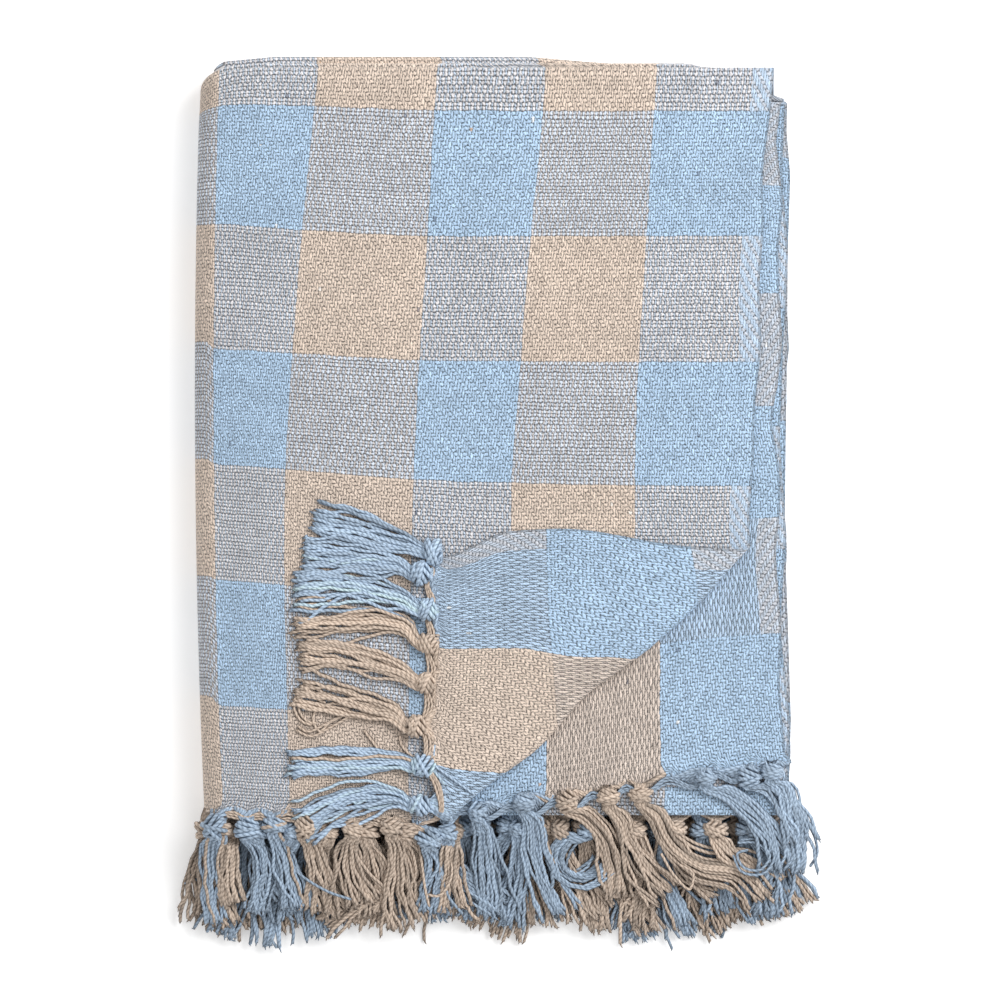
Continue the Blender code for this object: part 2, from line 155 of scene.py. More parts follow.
@dataclass(frozen=True)
class Panel:
    """One of the four strips across, between the cross folds.

    Attributes:
        layer: Its layer at level 0, from the top.
        step: How the layer changes with each level.
        top_shift: How far its top fold stands beyond the others'.
        open_edge: 1 if it ends in a selvedge.
    """

    layer: int
    step: int
    top_shift: float
    open_edge: int


@dataclass(frozen=True)
class Run:
    """One run of the cloth along its length: its level and its two ends."""

    level: int
    from_y: float
    to_y: float


@dataclass(frozen=True)
class Nudge:
    """A soft push by hand of the turned corner, in the plane: its middle, reach and move."""

    x: float
    y: float
    reach: float
    move_x: float
    move_y: float


@dataclass(frozen=True)
class Wave:
    """A soft wave: its height, length and phase."""

    height: float
    length: float
    phase: float = 0.0

    def at(self, place: Array, more: Array | float = 0.0) -> Array:
        """Returns the wave at places, with more added to its phase."""
        return self.height * np.sin(2 * np.pi * place / self.length + (self.phase + more))


@dataclass
class FoldMap:
    """Carries a place in the flat cloth to its place in the folded stack."""

    # The cloth and its folds.
    width: float = 1.30
    length: float = 1.69
    thickness: float = 0.0012
    layers: int = 16
    pitch: float = 0.0022
    bulge: float = 0.8
    side_x: float = -0.149
    top_y: float = 0.208
    near_y: float = -0.209
    hem_y: float = -0.209
    panels: tuple[Panel, ...] = (
        Panel(8, -1, 0.0045, 1),
        Panel(9, 1, 0.0025, 0),
        Panel(16, -1, -0.0010, 0),
        Panel(1, 1, 0.0, 1),
    )
    right_fold: int = 1
    top_panel: int = 3
    fold_halves: Numbers = (0.5, 3.5, 7.5)
    top_shift_span: Pair = (0.075, 0.020)
    # How far the open edges of the first and the last panel stand out at each level.
    first_reach: Numbers = (0.0020, 0.0060, 0.0030, 0.0070)
    fourth_reach: Numbers = (-0.0090, 0.0030, 0.0060, 0.0080)
    # The lean of the side folds, and what a hand did to the second layer.
    lean: Triple = (-0.0034, -0.0051, 0.097)
    lean_fade: float = 0.10
    second_spread: float = -0.058
    second_spread_span: Pair = (-0.020, 0.165)
    second_push: Triple = (0.0060, 0.030, 0.060)
    second_push_span: Pair = (-0.10, -0.16)
    # The stack's rise and fall, and the unevenness of its open edges.
    heave: float = 0.0008
    heave_waves: Pair = (0.37, 0.33)
    heave_phases: Pair = (0.7, 1.1)
    edge_wave: Wave = Wave(0.0016, 0.085)
    edge_wave_from: float = 0.06
    edge_phase: float = 2.1
    edge_places: Numbers = (-0.22, -0.17, -0.145, -0.115, -0.06, -0.005, 0.02, 0.13, 0.17)
    edge_moves: Numbers = (
        0.0020, 0.0036, 0.0020, 0.0, 0.0015, -0.0020, 0.0012, 0.0018, 0.0008,
    )
    selvedge_wave: Wave = Wave(0.0007, 0.061, 1.3)
    selvedge_wave_from: float = 0.10
    # Below the top layer, the far right corner stands back; every layer's far left one is round.
    corner_drop: float = 0.020
    corner_drop_layers: Pair = (1.0, 1.6)
    corner_drop_from: float = 0.12
    corner_drop_reach: Pair = (-0.050, 0.004)
    corner_round: float = 0.0135
    corner_round_reach: Pair = (0.021, 0.035)
    corner_round_depth: float = 0.98
    corner_round_from: float = 0.17
    # The turned corner.
    flap_line: float = 0.2003
    bend_radius: float = 0.0032
    settle: float = 0.05
    flap_shift: Pair = (-0.0075, 0.0050)
    nudge_from: float = -0.03
    nudges: tuple[Nudge, ...] = (
        Nudge(-0.012, -0.215, 0.095, -0.0077, 0.0077),
        Nudge(0.020, -0.055, 0.070, 0.0, 0.0040),
        Nudge(-0.019, -0.057, 0.030, 0.0, -0.0060),
        Nudge(0.056, -0.146, 0.048, -0.0046, 0.0046),
        Nudge(0.048, -0.120, 0.036, 0.0010, -0.0030),
        Nudge(0.115, -0.095, 0.045, 0.0015, -0.0015),
    )
    # How the hems are drawn in to the knots; the leans of their points are in millimetres.
    tassel_pitch: float = 0.0216
    draw_reach: float = 0.0135
    draw_fade: float = 1.4
    draw_in: float = 0.0025
    point_depths: Pair = (0.0024, 0.0046)
    point_edge: float = 0.97
    first_tassel: float = 0.0055
    last_tassel: float = 0.0108
    first_leans: Numbers = (2, 3, 3, 3, 3, 3, 3, 3, 2, 3, 2, -3, -3, -3, -4)
    last_leans: Numbers = (4, 6, 6, 0, 2, 1, 0, -2, 0, 0, 0, 0, 0, 0, 0)
    hem_steps: int = 180
    hem_fold_steps: tuple[int, int, int] = (16, 32, 48)
    # The chart of where the checks' corners lie on the top layer, in millimetres: a row for each
    # weft stripe's edge from the hem up, a column for each warp stripe's edge from the selvedge to
    # the side fold. It holds on the top layer and fades over these layers below it.
    chart_x_layers: Pair = (2.0, 1.5)
    chart_y_layers: Pair = (2.0, 1.0)
    row_height: float = 0.0687
    seen_row_height: float = 0.0661
    column_places: Numbers = (0.0, 0.0655, 0.1340, 0.1878, 0.2563, 0.3070)
    corner_x: tuple[Numbers, ...] = (
        (140.6, 85.7, 15.7, -45.9, -112),
        (149.5, 85.7, 15.7, -45.9, -113.7),
        (146.2, 82.9, 12.9, -44.8, -115.4),
        (146.2, 81.2, 12.3, -43.1, -114.8),
        (150.6, 83.4, 17.4, -39.8, -110.9),
        (152.3, 87.9, 23, -35.3, -105.3),
        (156.2, 91.8, 29.7, -31.4, -98.6),
        (159.6, 93.5, 31.4, -29.7, -96.3),
    )
    corner_y: tuple[Numbers, ...] = (
        (-233, -232.4, -230.2, -216.2, -211.1, -208.9),
        (-168, -166.3, -164.1, -156.8, -150.6, -148.4),
        (-93.5, -93.5, -91.8, -89, -82.3, -79),
        (-26.3, -25.8, -24.6, -22.4, -16.8, -14),
        (43.7, 43.7, 44.2, 44.8, 48.7, 51),
        (114.8, 114.8, 114.8, 114.8, 118.2, 121.5),
        (183.1, 183.1, 183.1, 183.7, 185.9, 187.6),
        (208, 208, 208, 208, 208, 208),
    )

    def __post_init__(self) -> None:
        """Works out the sizes that follow from the others."""
        self.fold_lengths = [self.arc(half) for half in self.fold_halves]
        self.panel_width = (self.width - sum(self.fold_lengths)) / len(self.panels)
        self.open_x = self.side_x + self.panel_width
        self.top_v = (self.top_y - self.hem_y) * self.row_height / self.seen_row_height
        self.stack_top = self.layer_height(1)
        self.runs = (
            Run(0, self.hem_y, self.top_y),
            Run(3, self.top_y, self.near_y),
            Run(2, self.near_y, self.top_y),
            Run(1, self.top_y, self.hem_y),
        )

    def arc(self, half: float) -> float:
        """Returns the length of a closed fold that is half a number of layers high."""
        return math.pi * half * self.pitch * math.sqrt((self.bulge**2 + 1) / 2)

    def layer_height(self, layer: Array | float) -> Array | float:
        """Returns the height of a layer's middle surface."""
        return self.thickness / 2 + (self.layers - layer) * self.pitch

    def rows(self, steps: Sequence[Sequence[float]], fold_steps: Sequence[int]) -> Array:
        """Stations along the cloth from the first hem to the last.

        Args:
            steps: For each run, the shares of it at which rows stand.
            fold_steps: How many steps each of the three folds has.

        Returns:
            Rows of y, level and the distance v from the first hem.
        """
        found: list[Triple] = []
        start = 0.0
        for index, run in enumerate(self.runs):
            reach = run.to_y - run.from_y
            for share in steps[index]:
                found.append((run.from_y + reach * share, run.level, start + abs(reach) * share))
            start += abs(reach)
            if run is self.runs[-1]:
                break
            after = self.runs[index + 1].level
            radius = (run.level - after) / 2
            outward = 1 if run.to_y == self.top_y else -1
            length = self.arc(abs(radius))
            for step in range(1, fold_steps[index]):
                angle = math.pi * step / fold_steps[index]
                out = outward * (self.bulge * abs(radius) * self.pitch * math.sin(angle))
                level = (run.level + after) / 2 + radius * math.cos(angle)
                found.append((run.to_y + out, level, start + length * angle / math.pi))
            start += length
        table = np.array(found)
        on_top = self.runs[0].to_y - self.runs[0].from_y
        below = (self.length - self.top_v) / (start - on_top)
        raw = table[:, 2].copy()
        table[:, 2] = np.where(
            raw <= on_top + TOLERANCE, raw * self.top_v / on_top, self.top_v + (raw - on_top) * below
        )
        return table

    def columns(self, steps: Sequence[Sequence[float]], fold_steps: Sequence[int]) -> Array:
        """Stations across the cloth from the first selvedge to the last.

        Args:
            steps: For each panel, the shares of it at which columns stand.
            fold_steps: How many steps each of the three side folds has.

        Returns:
            Rows of panel, share of the panel, share of the fold after it and the distance u.
        """
        found: list[Four] = []
        start = 0.0
        for index in range(len(self.panels)):
            found += [(index, share, 0.0, start + self.panel_width * share) for share in steps[index]]
            start += self.panel_width
            if index < len(self.fold_lengths):
                turns = [step / fold_steps[index] for step in range(1, fold_steps[index])]
                found += [(index, 1.0, turn, start + self.fold_lengths[index] * turn) for turn in turns]
                start += self.fold_lengths[index]
        return np.array(found)

    def lean_at(self, y: Array) -> Array:
        """Returns how far the left edge leans to the right at a place y along it."""
        return self.lean[0] + self.lean[1] * y + self.lean[2] * y * y

    def place(self, rows: Array, columns: Array) -> tuple[Array, Array]:
        """Folds a grid of stations, before the corner is turned back.

        Args:
            rows: Stations along the cloth, from rows().
            columns: Stations across the cloth, from columns().

        Returns:
            The grid's points, and the layer that each lies on.
        """
        x, y, layer = self.stacked(rows, columns)
        moved_x, moved_y = self.disturbed(x, y, layer, columns)
        chart_x, chart_y = self.chart(rows, columns)
        at_edge = smooth_step(x, self.selvedge_wave_from, self.open_x)
        chart_x = chart_x + self.selvedge_wave.at(y) * at_edge
        panel, turn = columns[:, 0], columns[:, 2]
        on_top = panel == self.top_panel
        beside = np.where(panel == self.top_panel - 1, turn**2, 0.0)
        charted_x = moved_x + (chart_x - moved_x) * smooth_step(layer, *self.chart_x_layers)
        charted_y = moved_y + (chart_y - moved_y) * (
            smooth_step(layer, *self.chart_y_layers) * np.where(on_top, 1.0, beside)
        )
        points = np.stack(
            [np.where(on_top, charted_x, moved_x), charted_y, self.layer_height(layer)], axis=-1
        )
        start, width = self.corner_round_reach
        across = np.clip((self.side_x + start - points[..., 0]) / width, 0.0, 1.0)
        rounded = 1 - np.sqrt(1 - self.corner_round_depth * across**2)
        near = smooth_step(points[..., 1], self.corner_round_from, self.top_y)
        points[..., 1] -= self.corner_round * rounded * near
        return self.drawn_in(points, rows, columns), layer

    def stacked(self, rows: Array, columns: Array) -> tuple[Array, ...]:
        """Folds a grid into an even stack.

        Args:
            rows: Stations along the cloth.
            columns: Stations across the cloth.

        Returns:
            The x, the y and the layer of each crossing.
        """
        panel = columns[:, 0].astype(int)
        share, turn = columns[:, 1][None, :], columns[:, 2][None, :]
        after = np.minimum(panel + 1, len(self.panels) - 1)
        level = rows[:, 1][:, None]
        levels = np.arange(len(self.runs))
        first = self.open_x + np.interp(rows[:, 1], levels, self.first_reach)[:, None]
        fourth = self.open_x + np.interp(rows[:, 1], levels, self.fourth_reach)[:, None]
        left, right = np.full_like(first, self.side_x), np.full_like(first, self.open_x)
        ends = [first, left, right, left, fourth]
        start = np.concatenate([ends[index] for index in panel], axis=1)
        stop = np.concatenate([ends[index + 1] for index in panel], axis=1)
        layers = np.array([item.layer for item in self.panels])
        steps = np.array([item.step for item in self.panels])
        shifts = np.array([item.top_shift for item in self.panels])
        layer_here = layers[panel] + steps[panel] * level
        layer_next = layers[after] + steps[after] * level
        angle, radius = np.pi * turn, (layer_here - layer_next) / 2
        layer = np.where(turn > 0, (layer_here + layer_next) / 2 + radius * np.cos(angle), layer_here)
        side = np.where(panel == self.right_fold, 1.0, -1.0)[None, :]
        out = side * self.bulge * np.abs(radius) * self.pitch * np.sin(angle)
        x = np.where(turn > 0, stop + out, start + (stop - start) * share)
        shift, shift_next = shifts[panel][None, :], shifts[after][None, :]
        kept = np.minimum(shift, 0.0) + np.maximum(shift, 0.0) * smooth_step(x, *self.top_shift_span)
        y = np.repeat(rows[:, 0][:, None], len(columns), axis=1)
        y = y + (kept + (shift_next - shift) * turn) * smooth_step(y, self.near_y, self.top_y)
        return x, y, layer

    def disturbed(self, x: Array, y: Array, layer: Array, columns: Array) -> tuple[Array, Array]:
        """Moves the stack's layers in the plane as they came to lie by hand.

        Args:
            x: Places across the even stack.
            y: Places along it.
            layer: The layer of each place.
            columns: Stations across the cloth.

        Returns:
            The moved x and y.
        """
        open_edge = np.array([item.open_edge for item in self.panels])[columns[:, 0].astype(int)]
        at_fold = smooth_step(x, self.side_x + self.lean_fade, self.side_x)
        at_edge = smooth_step(x, self.edge_wave_from, self.open_x)
        wave = self.edge_wave.at(y, self.edge_phase * layer * (open_edge * (columns[:, 2] <= 0)))
        moved_x = x + self.lean_at(y) * at_fold + wave * at_edge
        second = smooth_step(np.abs(layer - 2), 1.0, 0.0)
        push, centre, reach = self.second_push
        pushed = push * (second * smooth_step(y, *self.second_push_span))
        moved_x = moved_x + pushed * smooth_step(np.abs(x - centre), reach, 0.0)
        moved_x = moved_x + np.interp(y, self.edge_places, self.edge_moves) * at_edge
        spread = second * self.second_spread * smooth_step(x, *self.second_spread_span)
        moved_y = y - (self.top_y - np.minimum(y, self.top_y)) * spread
        drop = self.corner_drop * smooth_step(layer, *self.corner_drop_layers)
        drop = drop * smooth_step(y, self.corner_drop_from, self.top_y)
        start, end = (self.open_x + reach for reach in self.corner_drop_reach)
        return moved_x, moved_y - drop * smooth_step(moved_x, start, end)

    def drawn_in(self, points: Array, rows: Array, columns: Array) -> Array:
        """Draws the open panel's hems to the knots, with a point at each tassel and a notch between.

        Args:
            points: The folded grid.
            rows: Stations along the cloth.
            columns: Stations across the cloth.

        Returns:
            The grid with its hems drawn in.
        """
        from_selvedge = self.width - columns[:, 3][None, :]
        on_top = (columns[:, 0] == self.top_panel)[None, :]
        moved = points.copy()
        v = rows[:, 2][:, None]
        hems = (
            (v, self.first_tassel, self.first_leans, self.point_depths[0]),
            (self.length - v, self.last_tassel, self.last_leans, self.point_depths[1]),
        )
        for to_hem, first, leans, depth in hems:
            turn = 2 * np.pi * (from_selvedge - first) / self.tassel_pitch
            peak = 1 - 2 * np.arccos(self.point_edge * np.cos(turn)) / np.pi
            centres = first + self.tassel_pitch * np.arange(len(leans))
            near = smooth_step(to_hem, self.draw_reach, 0.0) ** self.draw_fade * on_top
            lean = np.interp(from_selvedge, centres, np.array(leans) / MILLIMETRES)
            moved[..., 0] += (self.draw_in * np.sin(turn) + lean) * near
            moved[..., 1] -= depth * peak * near
        return moved

    def chart(self, rows: Array, columns: Array) -> tuple[Array, Array]:
        """Where the top layer's threads lie, from the chart of the checks' corners.

        Args:
            rows: Stations along the cloth.
            columns: Stations across the cloth.

        Returns:
            The x and the y of each crossing.
        """
        full_rows = len(self.corner_x) - 1
        knots_v = np.array([*(self.row_height * index for index in range(full_rows)), self.top_v])
        along = curve_weights(knots_v, rows[:, 2])
        on_top = columns[:, 0] == self.top_panel
        from_selvedge = np.where(on_top, (1 - columns[:, 1]) * self.panel_width, self.panel_width)
        across = curve_weights(np.array(self.column_places), from_selvedge)
        table_y = np.array(self.corner_y) / MILLIMETRES
        table_x = np.array(self.corner_x) / MILLIMETRES
        left = self.side_x + self.lean_at(table_y[:, -1])
        table_x = np.concatenate([table_x, left[:, None]], axis=1)
        return along @ table_x @ across.T, along @ table_y @ across.T

    def flap_distance(self, points: Array) -> Array:
        """Returns how far points of the top layer lie past the turned corner's line."""
        return (points[..., 0] - points[..., 1] - self.flap_line) / math.sqrt(2)

    def turn_back(self, points: Array) -> Array:
        """Turns the near right corner of the top layer back over it.

        Args:
            points: Places on the flat top layer.

        Returns:
            Their places with the corner turned.
        """
        distance = self.flap_distance(points)
        angle = np.clip(distance / self.bend_radius, 0.0, math.pi)
        past = np.maximum(distance - math.pi * self.bend_radius, 0.0)
        offset = self.bend_radius * np.sin(angle) - past
        rise = self.bend_radius * (1 - np.cos(angle))
        rise = rise + (self.pitch - 2 * self.bend_radius) * smooth_step(past, 0.0, self.settle)
        shift = np.where(distance > 0, (offset - distance) / math.sqrt(2), 0.0)
        moved = points.copy()
        moved[..., 0] += shift
        moved[..., 1] -= shift
        moved[..., 2] += np.where(distance > 0, rise, 0.0)
        return moved

    def turned(self, points: Array) -> Array:
        """Turns the corner back and pushes it to where it lies.

        Args:
            points: Places on the flat top layer.

        Returns:
            Their places on the object, before the stack's rise and fall.
        """
        moved = self.turn_back(points)
        distance = self.flap_distance(points)
        share = smooth_step(distance, math.pi * self.bend_radius, self.settle)
        moved[..., 0] += self.flap_shift[0] * share
        moved[..., 1] += self.flap_shift[1] * share
        placed = moved.copy()
        near_turn = smooth_step(distance, self.nudge_from, 0.0)
        for nudge in self.nudges:
            away = np.hypot(placed[..., 0] - nudge.x, placed[..., 1] - nudge.y)
            share = near_turn * smooth_step(away, nudge.reach, 0.0)
            moved[..., 0] += nudge.move_x * share
            moved[..., 1] += nudge.move_y * share
        return moved

    def lift(self, points: Array) -> Array:
        """Adds the stack's soft rise and fall, none at the floor and most at the top.

        Args:
            points: Places in the even stack.

        Returns:
            Their places in the uneven one.
        """
        moved = points.copy()
        share = np.maximum(points[..., 2] - self.pitch, 0.0) / (self.stack_top - self.pitch)
        turns = [2 * np.pi * points[..., axis] / self.heave_waves[axis] for axis in (0, 1)]
        wave_x = np.sin(turns[0] + self.heave_phases[0])
        wave_y = np.cos(turns[1] + self.heave_phases[1])
        moved[..., 2] += self.heave * share * wave_x * wave_y
        return moved

    def hem(self, last: bool, u: Array) -> tuple[Array, Array]:
        """Points on one hem, before the corner is turned.

        Args:
            last: Whether it is the last hem, and not the first.
            u: Distances from the first selvedge.

        Returns:
            The points, and the layer that each lies on.
        """
        fine = np.linspace(0, 1, self.hem_steps)
        columns = self.columns([fine] * len(self.panels), self.hem_fold_steps)
        row = (self.hem_y, 1.0, self.length) if last else (self.hem_y, 0.0, 0.0)
        points, layer = self.place(np.array([row]), columns)
        found = [np.interp(u, columns[:, 3], points[0, :, axis]) for axis in range(3)]
        return np.stack(found, axis=-1), np.interp(u, columns[:, 3], layer[0])


# ---------------- finishes


class Value:
    """A number, vector or colour that a material's nodes give."""

    def __init__(self, sheet: "NodeSheet", socket: bpy.types.NodeSocket) -> None:
        """Keeps the socket that gives it."""
        self.sheet, self.socket = sheet, socket

    def act(self, operation: str, *others: "Amount") -> "Value":
        """Returns what a Math operation makes of it and others."""
        return self.sheet.math(operation, self, *others)

    def __add__(self, other: "Amount") -> "Value":
        """Adds another to it."""
        return self.act("ADD", other)

    def __mul__(self, other: "Amount") -> "Value":
        """Multiplies it by another."""
        return self.act("MULTIPLY", other)

    __radd__, __rmul__ = __add__, __mul__

    def __sub__(self, other: "Amount") -> "Value":
        """Takes another from it."""
        return self.act("SUBTRACT", other)

    def __rsub__(self, other: "Amount") -> "Value":
        """Takes it from another."""
        return self.sheet.math("SUBTRACT", other, self)

    def __truediv__(self, other: "Amount") -> "Value":
        """Divides it by another."""
        return self.act("DIVIDE", other)

    def __lt__(self, other: "Amount") -> "Value":
        """Gives 1 where it is less than another, and 0 elsewhere."""
        return self.act("LESS_THAN", other)

    def __gt__(self, other: "Amount") -> "Value":
        """Gives 1 where it is greater than another, and 0 elsewhere."""
        return self.act("GREATER_THAN", other)

    def __abs__(self) -> "Value":
        """Gives it without its sign."""
        return self.act("ABSOLUTE")


Amount = Value | float | Numbers


def between(first: Amount, second: Amount, share: Value) -> Value:
    """Returns a number that goes from the first to the second as the share goes from 0 to 1."""
    return first + share * (second - first)


class NodeSheet:
    """Lays out the nodes of one material."""

    def __init__(self, name: str) -> None:
        """Starts a material with its Principled shader."""
        self.material = bpy.data.materials.new(name)
        self.material.use_nodes = True
        self.tree = self.material.node_tree
        self.shader = self.tree.nodes["Principled BSDF"]

    def add(self, kind: str, inputs: dict[int | str, Amount], **settings: object) -> list[Value]:
        """Adds a node.

        Args:
            kind: Its kind of shader node.
            inputs: What its inputs get, by number or name.
            settings: Its other settings, by name.

        Returns:
            Its outputs, in order.
        """
        node = self.tree.nodes.new(f"ShaderNode{kind}")
        for name, setting in settings.items():
            setattr(node, name, setting)
        for place, value in inputs.items():
            self.put(node.inputs[place], value)
        return [Value(self, socket) for socket in node.outputs]

    def put(self, socket: bpy.types.NodeSocket, value: Amount) -> None:
        """Links a value to an input, or sets the input to a plain number or colour.

        Args:
            socket: The input.
            value: What it gets; a plain colour has three parts.
        """
        if isinstance(value, Value):
            self.tree.links.new(value.socket, socket)
        else:
            socket.default_value = (*value, 1.0) if socket.type == "RGBA" else value

    def math(self, operation: str, *values: Amount) -> Value:
        """Returns the result of a Math node."""
        return self.add("Math", dict(enumerate(values)), operation=operation)[0]

    def span(
        self, value: Amount, low: float, high: float, to_low: float, to_high: float, smooth: bool = False
    ) -> Value:
        """Carries a value from one range to another, held within it.

        Args:
            value: What is carried.
            low: Where the first range starts.
            high: Where it ends.
            to_low: Where the second range starts.
            to_high: Where it ends.
            smooth: Whether it starts and ends softly.

        Returns:
            The carried value.
        """
        kind = "SMOOTHSTEP" if smooth else "LINEAR"
        inputs = dict(enumerate((value, low, high, to_low, to_high)))
        return self.add("MapRange", inputs, interpolation_type=kind)[0]

    def blend(self, share: Amount, first: Amount, second: Amount, kind: str = "MIX") -> Value:
        """Returns two colours mixed."""
        inputs = {0: share, 6: first, 7: second}
        return self.add("Mix", inputs, data_type="RGBA", blend_type=kind)[2]

    def dimmed(self, colour: Value, light: Value) -> Value:
        """Returns a colour with each part multiplied by the same number."""
        return self.blend(1.0, colour, self.vector(light, light, light), "MULTIPLY")

    def vector(self, x: Amount, y: Amount, z: Amount = 0.0) -> Value:
        """Joins three numbers into a vector."""
        return self.add("CombineXYZ", {0: x, 1: y, 2: z})[0]

    def parts(self, value: Value) -> list[Value]:
        """Splits a vector or colour into its three numbers."""
        return self.add("SeparateXYZ", {0: value})

    def noise(self, place: Value, scale: float, detail: float, colour: bool = False) -> Value:
        """Returns a soft noise, as a number or as a colour."""
        return self.add("TexNoise", {"Vector": place, "Scale": scale, "Detail": detail})[int(colour)]

    def chance(self, place: Value, colour: bool = False) -> Value:
        """Returns a number or a colour drawn anew for each place."""
        return self.add("TexWhiteNoise", {"Vector": place})[int(colour)]

    def uv(self, name: str) -> list[Value]:
        """Returns the two parts of a UV map."""
        return self.parts(self.add("UVMap", {}, uv_map=name)[0])[:2]

    def finish(self, **inputs: Amount) -> Material:
        """Gives the shader what it needs.

        Args:
            inputs: What its inputs get, by name, with _ for a space.

        Returns:
            The material.
        """
        for name, value in inputs.items():
            self.put(self.shader.inputs[name.replace("_", " ")], value)
        return self.material


@dataclass(frozen=True)
class Cotton:
    """Matte cotton with a faint sheen of short fibres, in whatever form it is used."""

    roughness: float = 0.92
    sheen: float = 0.12

    def finish(self, sheet: NodeSheet, colour: Value, height: Value, relief: float) -> Material:
        """Ends a cotton material.

        Args:
            sheet: The material's nodes.
            colour: Its colour.
            height: Its relief, from 0 to about 1.
            relief: How far a height of 1 stands out.

        Returns:
            The material.
        """
        raised = sheet.add("Bump", {"Distance": relief, "Height": height})[0]
        return sheet.finish(
            Base_Color=colour, Roughness=self.roughness, Sheen_Weight=self.sheen, Normal=raised
        )


@dataclass(frozen=True)
class CottonColours:
    """The two yarn colours, woven and loose, and the odd fibres in them."""

    blue: Triple = linear(177, 203, 229)
    beige: Triple = linear(219, 201, 186)
    loose_blue: Triple = linear(182, 202, 223)
    loose_beige: Triple = linear(224, 204, 186)
    dark_fleck: Triple = linear(74, 82, 104)
    ochre_fleck: Triple = linear(222, 172, 116)
    pale_fleck: Triple = linear(246, 243, 238)


@dataclass(frozen=True)
class FaceLook:
    """What differs between the cloth's two faces.

    Attributes:
        sign: 1 where the warp's rise shows as a rise, -1 where it shows as a dip.
        bias: How far the warp lies above the weft in the rib.
        edge_bias: The same at the selvedges, where the two colours differ.
        fuzz: How much of the other colour shows through the warp and through the weft.
        edge_fuzz: The same at the selvedges.
        rib_gain: How much lighter the rib is.
    """

    sign: float
    bias: float
    edge_bias: float
    fuzz: Pair
    edge_fuzz: Pair
    rib_gain: float


class Face(Enum):
    """The two faces of the woven cloth."""

    FRONT = FaceLook(1.0, -0.15, 0.22, (0.26, 0.38), (0.15, 0.60), 1.17)
    REVERSE = FaceLook(-1.0, 0.66, 0.0, (0.08, 0.45), (0.34, 0.52), 1.0)


